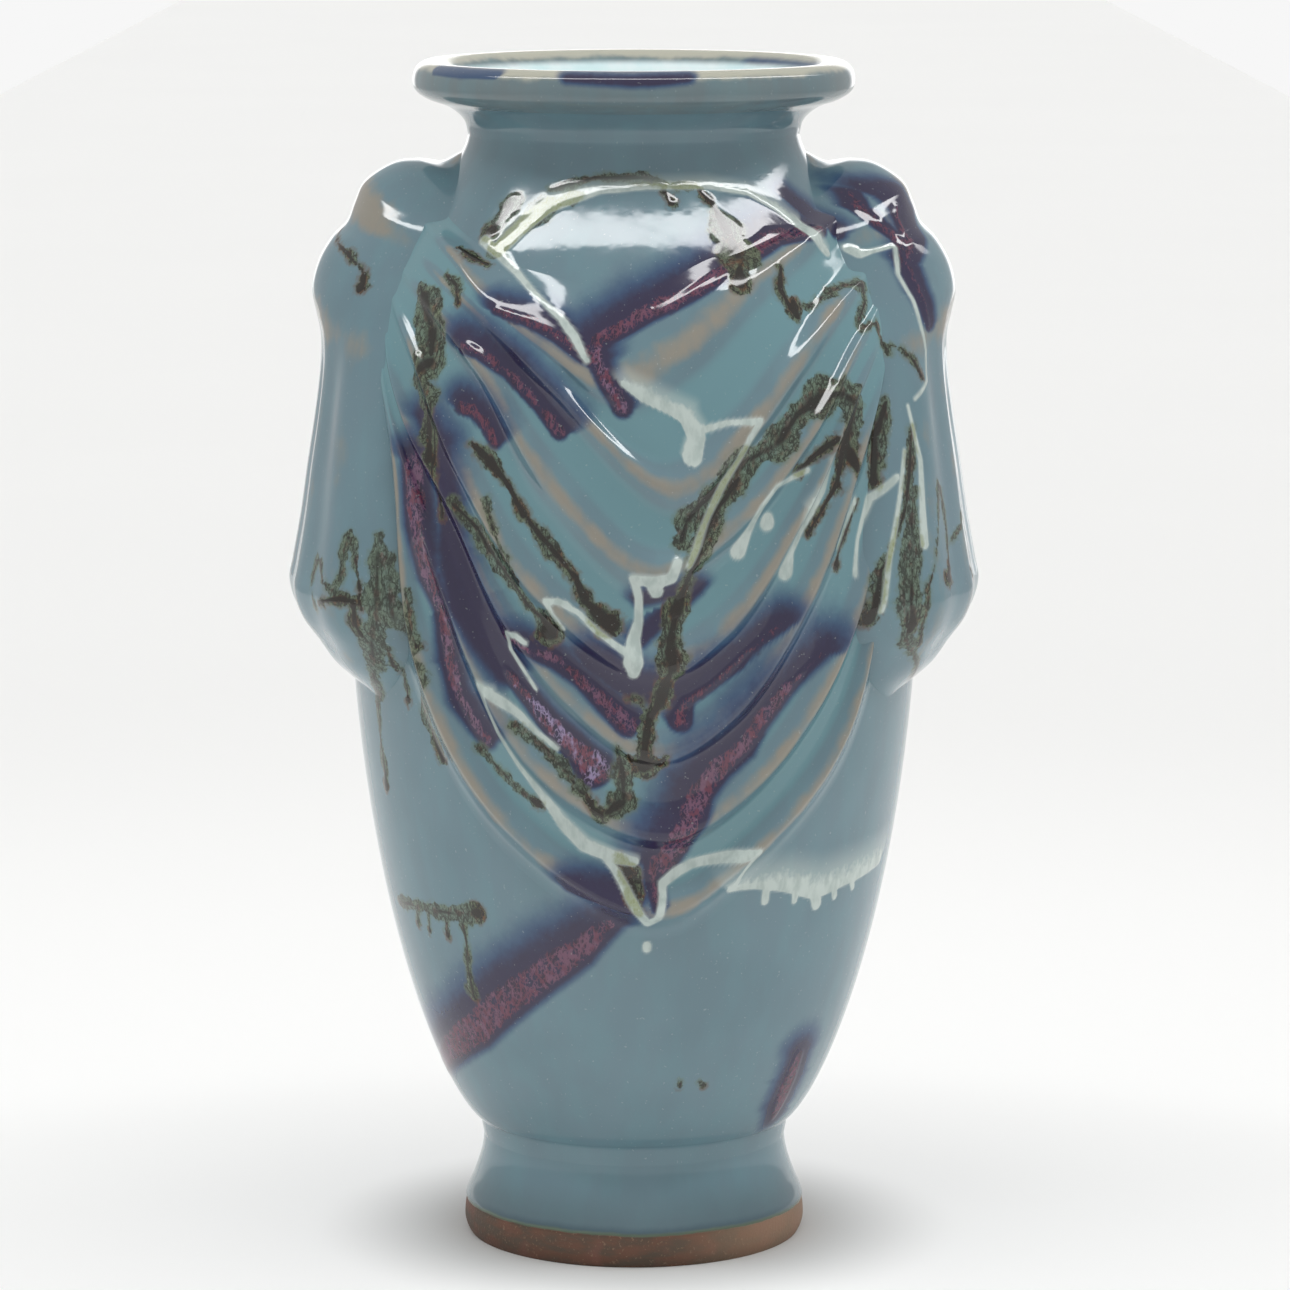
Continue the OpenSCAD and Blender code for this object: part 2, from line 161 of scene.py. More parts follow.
# Iron runs: how solid each is from 0 to 1, and its places.
IRON_RUNS = (
    (0.6, ((-25, 280, 1.2), (-12, 283, 1.4), (4, 283, 1.4), (11, 281, 1.4), (19, 281, 1.2),
     (23, 277, 1.2))),  # neck squiggle
    (0.9, ((9, 280, 0.8), (11, 277, 1.3))),  # neck blob
    (0.5, ((-37, 276, 3), (-38, 273, 3.4), (-40, 269, 2.3))),  # left lace patch
    (0.9, ((-46, 264, 0.8), (-40, 262, 1), (-36, 261, 0.8))),  # small black
    (0.65, ((-52, 254, 1.4), (-48, 250, 4.5), (-45, 244, 4.2), (-44, 237, 3.8), (-46, 233, 3),
     (-43, 228, 3.3), (-42, 219, 2.3), (-41, 213, 1.4))),  # left column
    (0.6, ((-45, 257, 1.2), (-41, 255, 1.4), (-39, 251, 1.2))),  # hook
    (0.85, ((-41, 227, 0.8), (-40, 213, 0.6), (-39, 199, 1))),  # thin
    (0.85, ((-32, 218, 1), (-28, 214, 2.1), (-24, 208, 1.6), (-21, 201, 1.6), (-15, 192, 1.6),
     (-11, 186, 1.6), (-9, 180, 1.8), (-6, 176, 2.6), (-4, 174, 3.1))),  # drip1
    (0.6, ((-35, 203, 1.4), (-30, 197, 1.9), (-26, 189, 1.9), (-23, 184, 1.4), (-20, 178, 1.4),
     (-17, 175, 2.3), (-16, 172, 3.3))),  # drip2
    (0.5, ((-28, 204, 1), (-26, 197, 1), (-24, 190, 1), (-22, 184, 1))),  # drip2b
    (0.6, ((9, 195, 2.3), (10, 200, 2.6), (14, 206, 3), (21, 214, 3.3), (28, 218, 3.3), (33, 225, 3.8),
     (39, 229, 4.5), (44, 229, 4.2), (47, 226, 3.3), (44, 217, 3), (46, 210, 1.9))),  # arch
    (0.95, ((43, 220, 0.8), (36, 214, 1), (33, 211, 1.8))),  # inner
    (0.9, ((44, 218, 1.6), (42, 207, 1.3), (38, 200, 1), (35, 195, 1))),  # leg1
    (0.7, ((56, 226, 1.4), (53, 217, 1.9), (52, 206, 1.9))),  # apex1
    (0.6, ((61, 219, 1.4), (59, 208, 1.4), (57, 199, 1.2), (51, 184, 0.9), (49, 171, 1.9))),  # apex2
    (0.8, ((48, 202, 0.8), (43, 191, 0.8), (42, 186, 1.3))),  # leg2
    (0.7, ((20, 210, 2.3), (15, 201, 2.3), (12, 193, 2.3), (10, 185, 1.9), (8, 177, 2.3))),  # branch
    (0.75, ((8, 177, 1.6), (7, 170, 3.4), (7, 163, 3.1), (6, 159, 2.1))),  # patch
    (0.9, ((6, 159, 2.1), (5, 154, 2.6), (3, 150, 1.6), (2, 143, 1.6), (2, 139, 2.1))),  # neck of anchor
    (1, ((2, 139, 2.6), (2, 138, 3.4), (2, 136, 1.6))),  # anchor
    (0.95, ((-1, 141, 0.6), (0, 139, 1.3), (5, 139, 1.3), (6, 141, 0.6))),  # anchor horns
    (0.65, ((23, 277, 1.4), (25, 270, 4.2), (26, 264, 4.9), (24, 257, 2.3))),  # lace patch on violet
    (0.5, ((-32, 141, 0.8), (-28, 136, 1), (-23, 130, 1.2), (-19, 127, 1.3))),  # olive thin left
    (0.55, ((-23, 148, 1), (-18, 143, 1.3), (-14, 138, 1.3), (-11, 133, 1.3),
     (-8, 129, 1.3))),  # olive line
    (0.6, ((-3, 143, 1.2), (-2, 136, 2.3), (-2, 129, 3), (-6, 126, 1.9), (-8, 128, 1.3))),  # hook2
    (0.8, ((-2, 128, 1), (-1, 130, 1))),  # horn2
    (0.5, ((-69, 93, 1.3), (-58, 94, 1.6), (-51, 94, 1.8), (-40, 95, 3.1), (-37, 96, 2.1))),  # comb
    (0.5, ((-59, 93, 0.8), (-60, 89, 0.8))),  # tooth1
    (0.5, ((-54, 93, 0.8), (-55, 88, 0.9))),  # tooth2
    (0.5, ((-47, 95, 0.8), (-48, 88, 1))),  # tooth3
    (0.6, ((-42, 92, 1), (-42, 85, 0.9), (-43, 80, 0.9), (-43, 74, 1.8), (-43, 72, 1.3))),  # comb drip
    (0.95, ((-3, 114, 1.3), (-1, 110, 2.3), (0, 105, 1.8), (1, 101, 0.8))),  # brown spot
    (0.6, ((13, 51, 1), (13, 50, 1))),  # speck
    (0.6, ((19, 51, 0.8), (20, 50, 0.8))),  # speck2
    (0.7, ((3, 151, 0.8), (1, 155, 0.8), (-1, 155, 0.6))),  # line into right
    (0.9, ((-87, 267, 0.5), (-83, 264.5, 0.8), (-75.5, 261.5, 0.8), (-69.5, 257.5, 0.7), (-68.5, 255, 1.5),
     (-68.5, 253, 1.3))),  # left gather line
    (0.55, ((-67.5, 172.5, 1.1), (-68.5, 176.5, 0.5), (-69, 180, 0.7), (-68, 184, 1.2), (-66.5, 184, 0.8),
     (-64, 179.5, 0.9), (-60.5, 177.5, 1.3), (-59, 182, 0.8), (-59.5, 188, 1), (-59, 192, 1.2),
     (-57.5, 189, 1), (-56.5, 185, 0.8), (-55, 178.5, 0.8), (-54.5, 173.5, 0.6))),  # left tail arches
    (0.85, ((-65, 173.5, 1), (-63, 174.5, 0.9), (-58.5, 176, 1.4), (-56, 175.5, 1.4), (-56, 173, 1.2),
     (-56.5, 169.5, 1.4), (-56, 167, 1.3), (-55.5, 165, 1.2))),  # left tail loop
    (0.4, ((-53, 192.5, 0.8), (-52.5, 186.5, 2.4), (-52, 179, 2.8), (-52, 171, 2.8), (-57, 159.5, 2.3),
     (-64, 147.5, 1.4), (-64.5, 137, 1.2), (-64, 129, 1.8), (-64.5, 124.5, 1.4))),  # left long drip
    (0.35, ((-52, 188, 1), (-50, 179, 1.5), (-49.5, 171.5, 2.2), (-46, 164.5, 2.2), (-43.5, 157, 2),
     (-46.5, 147, 1.6), (-44, 142, 1.6), (-42, 136, 2.3))),  # left second drip
    (0.5, ((-46.5, 179.5, 0.7), (-46, 173.5, 0.7), (-45, 168, 0.7), (-44, 165.5, 1))),  # left short drip
    (0.6, ((-52.5, 163.5, 0.8), (-53.5, 158.5, 1), (-53.5, 157.5, 1))),  # left short drip below
    (0.6, ((-52.5, 157, 0.8), (-51.5, 152.5, 0.9), (-51.5, 150, 1.1))),  # left short drip lowest
    (0.6, ((40, 250.5, 1.2), (47.5, 253.5, 1.2), (52, 254.5, 1.2), (58, 253.5, 1.5), (57.5, 250, 1),
     (52.5, 245.5, 0.8), (52.5, 244, 1), (58, 244.5, 0.8), (57.5, 242, 0.7), (58.5, 239, 1.1),
     (59.5, 240, 0.5), (61.5, 239, 0.6), (64, 235.5, 0.8), (66, 231, 0.6))),  # right squiggle
    (0.5, ((62, 185, 0.4), (65, 194.5, 0.5), (66, 199.5, 0.7), (67.5, 203.5, 1.2), (68.5, 201.5, 0.9),
     (69, 196.5, 0.6), (69, 191.5, 0.6), (68, 186.5, 0.6), (67, 181.5, 0.6))),  # right tail arch
    (1, ((67, 182, 0.9), (66, 180, 1.9))),  # right tail drop
    (0.5, ((68.5, 188, 0.5), (75.5, 191.5, 0.7), (77, 194.5, 1.1), (78, 192.5, 0.8), (78, 187, 0.6),
     (77.5, 183, 0.6))),  # right tail second arch
    (1, ((77, 180, 0.7), (77.5, 178.5, 1.4))),  # right tail second drop
    (0.6, ((62, 185, 0.4), (59, 178, 0.5), (58.5, 169, 0.6), (61, 163, 0.5))),  # right tail thin drip
    (0.45, ((59.5, 203.5, 1), (58, 196, 1.8), (57, 186, 2.4), (55.5, 176, 2.4),
     (56.5, 168, 1.8))),  # right column
    (0.4, ((56, 191, 1), (54, 176, 1.6), (56.5, 165.5, 1.4), (71, 151.5, 1))),  # right column beside
    (0.8, ((35.5, 260, 1.4), (34, 255.5, 1.4), (35, 252, 1.4), (36.5, 248.5, 2),
     (36.5, 252, 1.6))),  # right squiggle start
    (0.3, ((-36, 265, 2.2), (-31, 271, 3.6), (-26, 275.5, 3.4), (-20, 277.5, 2.4),
     (-16, 278.5, 1.2))),  # under the arc
)
# Violet runs: how far the blue fades upward and downward, how lavender the lace is or -1
# for none, and the places.
VIOLET_RUNS = (
    (11, 2, 0.1, ((54, 268, 1.6), (48, 268, 2.3), (38, 268, 2.6), (28, 264, 2.6), (20, 260, 2.3),
     (11, 255, 2.3), (3, 251, 2.3), (-3, 247, 2.3), (-7, 244, 2.1))),  # upper right
    (4, 2, 0.4, ((-7, 244, 1.8), (-7, 239, 1.6), (-5, 234, 1.6), (-3, 230, 1.6), (-2, 228, 1.8))),  # tip
    (8, 2, 0, ((-29, 250, 0.8), (-21, 248, 1.3), (-15, 245, 1.6), (-10, 241, 1.8),
     (-7, 239, 1.6))),  # left arm
    (10, 1.5, 0.1, ((-35, 241, 1.3), (-31, 240, 1.3), (-25, 236, 1.3), (-18, 228, 1.3),
     (-14, 222, 1.6))),  # fold run 1
    (8, 2, 0, ((-35, 227, 1.3), (-32, 226, 1.3), (-29, 223, 1.3), (-27, 219, 1.3))),  # fold run 2
    (8, 3, 0.3, ((-46, 213, 2.1), (-44, 196, 2.6), (-42, 183, 2.6), (-39, 175, 2.3), (-38, 162, 2.1),
     (-36, 153, 1.8), (-32, 146, 1.6), (-30, 143, 1.6))),  # left column
    (9, 5, -1, ((-44, 223, 0.8), (-39, 216, 2.1), (-37, 203, 2.6), (-36, 191, 2.6), (-33, 178, 2.6),
     (-29, 169, 2.3), (-25, 161, 2.1))),  # dark region
    (4, 2, 0.9, ((-25, 161, 1.3), (-20, 154, 1.8), (-17, 149, 2.1), (-13, 144, 2.6), (-10, 140, 3.1),
     (-8, 137, 4.2))),  # lavender
    (6, 2, 0.2, ((-25, 171, 1), (-22, 169, 1), (-15, 165, 1.3), (-10, 160, 1.3), (-6, 155, 1.8),
     (-2, 150, 2.1), (-1, 149, 2.3))),  # second
    (8, 2, -1, ((-8, 165, 2.1), (1, 157, 2.6), (11, 157, 2.6), (20, 164, 2.1))),  # halo base second
    (4, 2, 0.5, ((10, 154, 1.6), (9, 150, 2.6))),  # blob2
    (9, 2, 0, ((29, 173, 0.8), (22, 166, 0.8), (15, 158, 0.8), (11, 155, 1))),  # right run
    (14, 3, 0.2, ((39, 164, 0.5), (33, 158, 1), (30, 155, 1.8), (25, 148, 2.3), (22, 142, 2.6),
     (17, 137, 2.9), (13, 131, 2.9), (11, 124, 2.9), (8, 117, 3.1), (6, 112, 2.6))),  # right main
    (3, 1.5, 0.1, ((4, 113, 1.8), (4, 107, 1.3), (5, 102, 1))),  # column into cup
    (12, 4, 0.15, ((-5, 96, 1.8), (-13, 88, 3.6), (-27, 77, 4.4), (-45, 63, 4.7), (-58, 56, 3.9),
     (-81, 45, 2.6))),  # lower left
    (7, 3, -1, ((-13, 107, 1.3), (-6, 105, 2.1), (-1, 103, 2.1))),  # upper lower left
    (9, 7, 0.1, ((52, 54, 2.1), (52, 47, 2.9), (52, 40, 2.6), (53, 36, 1.3))),  # oval
    (6, 2, -1, ((51, 277, 1), (56, 273, 1.8), (60, 268, 2.1))),  # smear
    (5, 3, -1, ((1, 180, 0.5), (12, 183, 0.8), (1, 170, 1))),  # halo mid base
    (2.2, 1.2, -2, ((-64, 308.3, 0.1), (-50, 308.2, 0.3), (-38, 308.3, 0.1))),  # rim patch left
    (3, 2.6, -1, ((-17, 308.2, 0.1), (-8, 307.8, 0.2), (0, 307.5, 0.3), (8, 307.8, 0.2),
     (14, 308.2, 0.1))),  # rim patch middle
    (3, 3, -1, ((100, 306, 0.3), (118, 305, 0.8), (140, 306, 0.3))),  # rim patch back
    (5, 3, -1, ((76, 277.5, 1.5), (78.5, 276, 3), (79.5, 271.5, 3.4), (78, 266.5, 2.6), (71.5, 260, 1.8),
     (71, 252, 1.5), (71, 244.5, 1))),  # right gather violet
    (2, 1.5, 0.1, ((77.5, 273.5, 0.9), (75.5, 271, 0.9), (75.5, 265, 1.1), (71, 260, 1), (71, 253, 0.9),
     (70.5, 243.5, 0.6))),  # right gather lace
    (2.5, 1.5, 0, ((71, 277, 0.9), (69, 273.5, 1.2), (70, 269, 1.3), (72.5, 265.5, 1.2), (71.5, 262.5, 0.9),
     (69.5, 258.5, 0.7))),  # right shoulder strand
)
# Cream runs: how soft the upper and the lower edge is, and the places.
CREAM_RUNS = (
    (3.5, 0.6, ((-34, 267, 2.6), (-30, 272, 2.6), (-25, 276, 2.3), (-19, 278, 2.1), (-10, 280, 1),
     (4, 281, 0.9), (12, 281, 0.9), (23, 281, 1), (36, 279, 1), (44, 275, 1.3), (49, 271, 1.6),
     (50, 267, 1.8), (53, 263, 1.3))),  # arc
    # The hem line is partly cream glaze and partly a painted highlight: the strip light's reflection along
    # the top hem's ridge
    (0.7, 0.7, ((-41, 267, 1.3), (-34, 264, 1.3), (-28, 260, 0.8), (-22, 255, 0.6), (-15, 249, 0.8),
     (-12, 245, 1), (-9, 239, 0.6))),  # hem line
    (4.5, 0.4, ((-2, 234, 0.8), (2, 231, 1.6), (7, 228, 1.6), (10, 226, 1.8), (12, 221, 2.1),
     (11, 216, 2.3))),  # mid band
    (0.7, 0.7, ((12, 222, 0.8), (18, 224, 0.6), (24, 224, 0.8), (22, 220, 0.8), (20, 215, 0.6),
     (17, 209, 0.8), (14, 201, 0.6), (12, 195, 0.6), (10, 189, 0.6))),  # mid thin
    (1, 0.5, ((8, 190, 1), (7, 186, 1.3), (4, 185, 1.6), (0, 186, 1), (1, 181, 0.9), (1, 175, 1),
     (0, 170, 1.6), (0, 165, 2.3), (0, 162, 1.3))),  # drop
    (0.5, 0.5, ((4, 183.5, 1.8), (4.3, 182.5, 1.6))),  # scallop
    (0.6, 0.6, ((35, 211, 0.6), (30, 209, 0.6), (27, 208, 0.6), (24, 203, 0.8), (22, 197, 1),
     (20, 192, 2.1))),  # right hang a
    (2.5, 0.6, ((40, 212, 0.8), (38, 206, 1.6), (35, 201, 2.1), (33, 196, 1), (31, 191, 1),
     (30, 186, 2.1))),  # right hang b
    (0.6, 0.6, ((26, 199.5, 1.6), (26, 198.5, 1.9))),  # spot
    (0.6, 0.6, ((47, 202, 0.8), (44, 197, 0.8), (42, 191, 0.6))),  # right hang c
    (0.6, 0.6, ((56, 207, 0.8), (51, 202, 0.8), (48, 192, 0.5), (47, 183, 0.5))),  # right hang d
    (0.5, 0.5, ((-12, 179, 0.5), (-14, 180, 0.6), (-16, 180, 0.8), (-15, 177, 0.5),
     (-13, 173, 0.5))),  # hook a
    (0.5, 0.5, ((-14, 180, 0.5), (-10, 177, 0.5), (-7, 173, 0.6), (-4, 170, 0.6),
     (-1, 167, 0.8))),  # hook a2
    (0.5, 0.5, ((-20, 169, 0.4), (-22, 171, 0.6), (-24, 171, 0.8), (-24, 167, 0.4), (-22, 163, 0.4),
     (-19, 157, 0.4))),  # hook b
    (1.5, 0.5, ((-28, 156, 1.3), (-30, 157, 1.3), (-29, 152, 0.8), (-27, 145, 0.6), (-23, 137, 0.6),
     (-18, 129, 1), (-14, 122, 1.6), (-10, 117, 1.8), (-4, 114, 1.6), (0, 113, 1.3))),  # long left
    (0.6, 0.6, ((-30, 157, 1), (-27, 155, 1), (-23, 151, 0.8), (-19, 146, 0.5),
     (-15, 142, 0.5))),  # long left top
    (0.6, 0.6, ((-7, 116, 1), (-4, 111, 0.9), (-1, 105, 0.9), (1, 101, 1), (3, 97, 1), (5, 99, 0.9),
     (6, 104, 0.8), (6, 107, 1))),  # cup
    (0.7, 0.6, ((6, 107, 1), (9, 110, 1.3), (12, 112, 1.2), (20, 114, 1.2), (25, 115, 1.3))),  # right arm
    (0.6, 0.6, ((25, 115, 0.8), (23, 110, 0.5), (22, 106, 0.8))),  # link
    (9, 0.5, ((21, 105, 1.3), (27, 105, 1.3), (35, 104, 2.1), (44, 101, 2.6), (51, 102, 2.1),
     (62, 103, 1.8), (71, 104, 1.6))),  # patch
    (0.5, 0.5, ((30, 104, 1), (30, 100, 1))),  # tooth a
    (0.5, 0.5, ((38, 102, 1), (38, 99, 0.8))),  # tooth b
    (0.5, 0.5, ((44, 100, 1.8), (45, 97, 1.6))),  # tooth c
    (0.5, 0.5, ((50, 101, 1), (51, 98, 0.9))),  # tooth d
    (0.5, 0.5, ((57, 101, 1), (58, 99, 0.8))),  # tooth e
    (0.5, 0.5, ((3, 90, 1), (3, 89, 1))),  # dot
    (0.7, 0.5, ((61.5, 263.5, 1.6), (62, 262.5, 1.2), (65, 263, 0.5), (70, 264, 0.5), (70.5, 263.5, 0.4),
     (68, 257, 0.4), (68.5, 250.5, 0.4), (68, 243, 0.45), (69, 237.5, 0.45), (68, 230, 0.45),
     (63, 226, 0.4))),  # right thin line
    (0.6, 0.5, ((61, 224.5, 0.4), (61.5, 218.5, 0.4), (62, 210.5, 0.6), (61, 200.5, 0.8),
     (60, 189.5, 1.1))),  # right tail pale drip
    (0.6, 0.5, ((58.5, 213.5, 0.4), (56, 201.5, 0.5), (52.5, 186.5, 0.5),
     (50.5, 173.5, 0.4))),  # right edge pale line
)
FAR = 20.0        # distance that stands for no run near
IRON_SWELL = 0.28  # how much an iron run swells and narrows, as a share of its width
PROUD = 0.18      # how far the thickest run stands off the ground
LIP_CLEAR = 15    # runs that start nearer to the lip than this stay on the front


def near_run(angle, z, places, swell=0):
    """Distance to a run's edge, height above its line, half-width and share at each place.

    Each pair of places spans a tapered strip. The distance is that to the nearest point of the
    line between them, less the half-width there, on the wall unrolled about the place itself, so
    it is negative inside. The height is the sine of the direction from that point, -1 to 1. The
    share is how much of the run's places come before it, 0 to 1. The half-width is multiplied by
    1 + swell sin(4.3 (k + t) + a0), where k + t counts the places passed.
    """
    reach = wall_r(z)
    height = along_wall(z)
    best = np.full(angle.shape, 1e3)
    above = np.zeros(angle.shape)
    broad = np.ones(angle.shape)
    share = np.zeros(angle.shape)
    for k, ((a0, z0, w0), (a1, z1, w1)) in enumerate(zip(places, places[1:])):
        x0 = np.radians((a0 - angle + 180) % 360 - 180) * reach
        x1 = np.radians((a1 - angle + 180) % 360 - 180) * reach
        y0, y1 = along_wall(z0) - height, along_wall(z1) - height
        dx, dy = x1 - x0, y1 - y0
        t = np.clip(-(x0 * dx + y0 * dy) / (dx * dx + dy * dy + 1e-6), 0, 1)
        px, py = x0 + t * dx, y0 + t * dy
        gap = np.hypot(px, py)
        half = (w0 + t * (w1 - w0)) * (1 + swell * np.sin(4.3 * (k + t) + a0))
        d = gap - half
        closer = d < best
        broad = np.where(closer, half, broad)
        share = np.where(closer, (k + t) / (len(places) - 1), share)
        best = np.where(closer, d, best)
        above = np.where(closer, -py / np.maximum(gap, 0.2), above)
    return best, above, broad, share


def close_by(angle, z, places, margin):
    """Which places lie within margin millimetres of a run's outline box."""
    spots = np.array(places)
    turn = (angle - spots[:, 0].mean() + 180) % 360 - 180
    wide = np.abs(spots[:, 0] - spots[:, 0].mean()).max() + np.degrees(margin / 40)
    tall = (z > spots[:, 1].min() - margin) & (z < spots[:, 1].max() + margin)
    return tall & (np.abs(turn) < wide)


def with_back(runs):
    """The runs, and every second one of them that starts clear of the lip again on the back, turned by 180
    degrees.
    """
    return runs + tuple((*kind, [(a + 180, z, w) for a, z, w in places])
                        for *kind, places in runs[::2] if places[0][1] < RIM_Z - LIP_CLEAR)


def glaze_fields(angle, z):
    """What the glaze material needs to know at each place, from the lists of runs.

    iron: distance to the nearest iron run's edge, how solid that run is, and 1 on its line.
    haze: blue halo and violet depth, each 0 to 1, fading from a violet run's line.
    core: distance to the nearest violet run's lace, and how lavender it is.
    cream: cover of the cream runs, 0.5 at their edge, steep below and soft above.
    """
    shape = angle.shape
    a, h = angle.ravel(), z.ravel()
    n = len(a)
    iron, core = np.full(n, FAR), np.full(n, FAR)
    solid, heart, blue, deep, pale, cream = np.zeros((6, n))
    for tone, places in with_back(IRON_RUNS):
        k = np.flatnonzero(close_by(a, h, places, 8))
        d, _, broad, share = near_run(a[k], h[k], places, IRON_SWELL)
        heart[k] = np.maximum(heart[k], np.clip(-d / broad, 0, 1))
        closer = d < iron[k]
        iron[k] = np.where(closer, d, iron[k])
        thick = tone + (1 - tone) * ease(0.78, 1.0, share) * (tone > 0.3)
        solid[k] = np.where(closer, thick, solid[k])
    for up, down, lavender, places in with_back(VIOLET_RUNS):
        k = np.flatnonzero(close_by(a, h, places, 1.5 * up + 6))
        d, above, _, _ = near_run(a[k], h[k], places)
        reach = down + (1.45 * up - down) * ease(-0.35, 0.6, above)
        fade = np.clip(np.maximum(d, 0) / reach, 0, 1)
        blue[k] = np.maximum(blue[k], 1 - ease(0.0, 1.0, fade))
        deep[k] = np.maximum(deep[k], (1 - ease(0.0, 0.75, fade)) * (1 if lavender > -2 else 0.35))
        if lavender >= 0:
            closer = d < core[k]
            core[k] = np.where(closer, d, core[k])
            pale[k] = np.where(closer, lavender, pale[k])
    for soft, crisp, places in with_back(CREAM_RUNS):
        k = np.flatnonzero(close_by(a, h, places, soft * 2 + 4))
        d, above, _, _ = near_run(a[k], h[k], places)
        blend = crisp + (soft - crisp) * ease(0, 0.8, above)
        cream[k] = np.maximum(cream[k], np.clip(0.5 - d / (2 * blend), 0, 1))
    return {
        "iron": np.stack([iron, solid, heart], -1).reshape(shape + (3,)),
        "haze": np.stack([blue, deep, 0 * blue], -1).reshape(shape + (3,)),
        "core": np.stack([core, pale, cream], -1).reshape(shape + (3,)),
    }


def run_lift(fields):
    """How far a run's glaze stands proud: iron the most, with a rounded edge 1.5 mm wide."""
    iron = (1 - ease(-1.2, 0.3, fields["iron"][..., 0])) * fields["iron"][..., 1]
    core = 1 - ease(-1.0, 0.4, fields["core"][..., 0])
    cream = ease(0.3, 0.9, fields["core"][..., 2])
    return PROUD * np.maximum(iron, np.maximum(core * 0.8, cream * 0.7))


# ---- Meshes ----

def grid_quads(rows, cols, loop_rows=False, loop_cols=False):
    """Quads between neighbours on a grid of points; rows run up and columns run to the right."""
    r, c = np.meshgrid(np.arange(rows - (not loop_rows)), np.arange(cols - (not loop_cols)),
                       indexing="ij")
    up, right = (r + 1) % rows, (c + 1) % cols
    return np.stack([r * cols + c, r * cols + right, up * cols + right, up * cols + c],
                    -1).reshape(-1, 4)


def rim_of(rows, cols):
    """The grid's border points, once round from the lower left."""
    grid = np.arange(rows * cols).reshape(rows, cols)
    return np.concatenate([grid[0, :-1], grid[:-1, -1], grid[-1, :0:-1], grid[:0:-1, 0]])


def piece(name, points, faces, fields, material, slot, *nodes):
    """Puts points in millimetres and lists of faces into a mesh that replaces the frame's nodes."""
    mesh = bpy.data.meshes.new(name)
    mesh.from_pydata(points * MM, [], [f for block in faces for f in block.tolist()])
    for key, values in fields.items():
        layer = mesh.attributes.new(key, "FLOAT_VECTOR", "POINT")
        layer.data.foreach_set("vector", values.astype(np.float32).ravel())
    mesh.shade_smooth()
    mesh.set_sharp_from_angle(angle=math.radians(SHARP))
    mesh.materials.append(material)
    made = bpy.data.objects.new(name, mesh)
    bpy.context.scene.collection.objects.link(made)
    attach(made, "root")
    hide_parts(*nodes)
    return made


SHARP = 50  # degrees between faces past which an edge stays crisp
PLAIN = {"iron": (FAR, 0, 0), "haze": (0, 0, 0), "core": (FAR, 0, 0), "form": (0, 0, 0)}
COLUMNS = np.concatenate([np.arange(-84, 84, 0.5), np.linspace(84, 276, 240, endpoint=False)])


def ring(name, outer, inner, form, glazed, lined, material, slot, *nodes):
    """A closed ring: the outline goes up the outer places and down the inner ones, once round.

    A place at radius r and height z on the outline becomes (r sin a, -r cos a, z) at each of the
    columns' angles a. Runs lift the outer skin along the wall's outward direction. form holds the
    crest and mouth values of each outer place; glazed says whether runs cross the ring and lined
    whether its inner skin has the inside's glaze.
    """
    angle, _ = np.meshgrid(COLUMNS, outer[:, 1])
    z = np.repeat(outer[:, 1:], len(COLUMNS), 1)
    r = np.repeat(outer[:, :1], len(COLUMNS), 1)
    fields = glaze_fields(angle, z) if glazed else {}
    if glazed:
        lift = run_lift(fields)
        out, up = wall_lean(z)
        shut = ease(0, 1.5, z - z[0, 0]) * ease(0, 1.5, z[-1, 0] - z)
        skin = round_vase(angle, r + lift * out * shut, z + lift * up * shut)
    else:
        skin = round_vase(angle, r, z)
    lining = round_vase(*[np.broadcast_to(v, (len(inner), len(COLUMNS)))
                          for v in (COLUMNS[None], inner[:, :1], inner[:, 1:])])
    points = np.concatenate([skin, lining]).reshape(-1, 3)
    rows = len(outer) + len(inner)
    given = {"form": np.repeat(form[:, None], len(COLUMNS), 1), **fields}
    layers = {}
    for key, rest in {**PLAIN, "form": (0, float(lined), 0)}.items():
        blank = np.broadcast_to(np.array(rest, float), (rows, len(COLUMNS), 3)).copy()
        if key in given:
            blank[:len(given[key])] = given[key]
        layers[key] = blank.reshape(-1, 3)
    quads = grid_quads(rows, len(COLUMNS), True, True)
    return piece(name, points, [quads], layers, material, slot, *nodes)


def plain_form(count, crest=0.3):
    """Form values for a plain outer skin of count places."""
    return np.tile([crest, 0.0, 0.0], (count, 1))


def relief(name, angle, z, points, under, crest, step, material, slot, node):
    """A closed skin over a grid of outer points, with a coarser skin of every step-th place beneath.

    A strip of triangles joins the two skins along their borders, step outer edges to each inner one.
    """
    rows, cols = angle.shape
    fields = glaze_fields(angle, z)
    inner = under[::step, ::step]
    n_rows, n_cols = inner.shape[:2]
    outside, inside = rim_of(rows, cols), rim_of(n_rows, n_cols) + rows * cols
    j = np.repeat(np.arange(len(inside)), step)
    i = np.arange(len(outside))
    apex = inside[np.where(i % step < step // 2, j, (j + 1) % len(inside))]
    fans = np.stack([np.roll(outside, -1), outside, apex], -1)
    steps = np.stack([inside, np.roll(inside, -1), outside[step // 2::step]], -1)
    lower = grid_quads(n_rows, n_cols)[:, ::-1] + rows * cols
    layers = {}
    fields["form"] = np.stack([crest, 0 * crest, 0 * crest], -1)
    for key, rest in PLAIN.items():
        blank = np.broadcast_to(np.array(rest, float), (n_rows * n_cols, 3))
        layers[key] = np.concatenate([fields[key].reshape(-1, 3), blank])
    everything = np.concatenate([points.reshape(-1, 3), inner.reshape(-1, 3)])
    return piece(name, everything, [grid_quads(rows, cols), lower, fans, steps], layers, material,
                 slot, node)


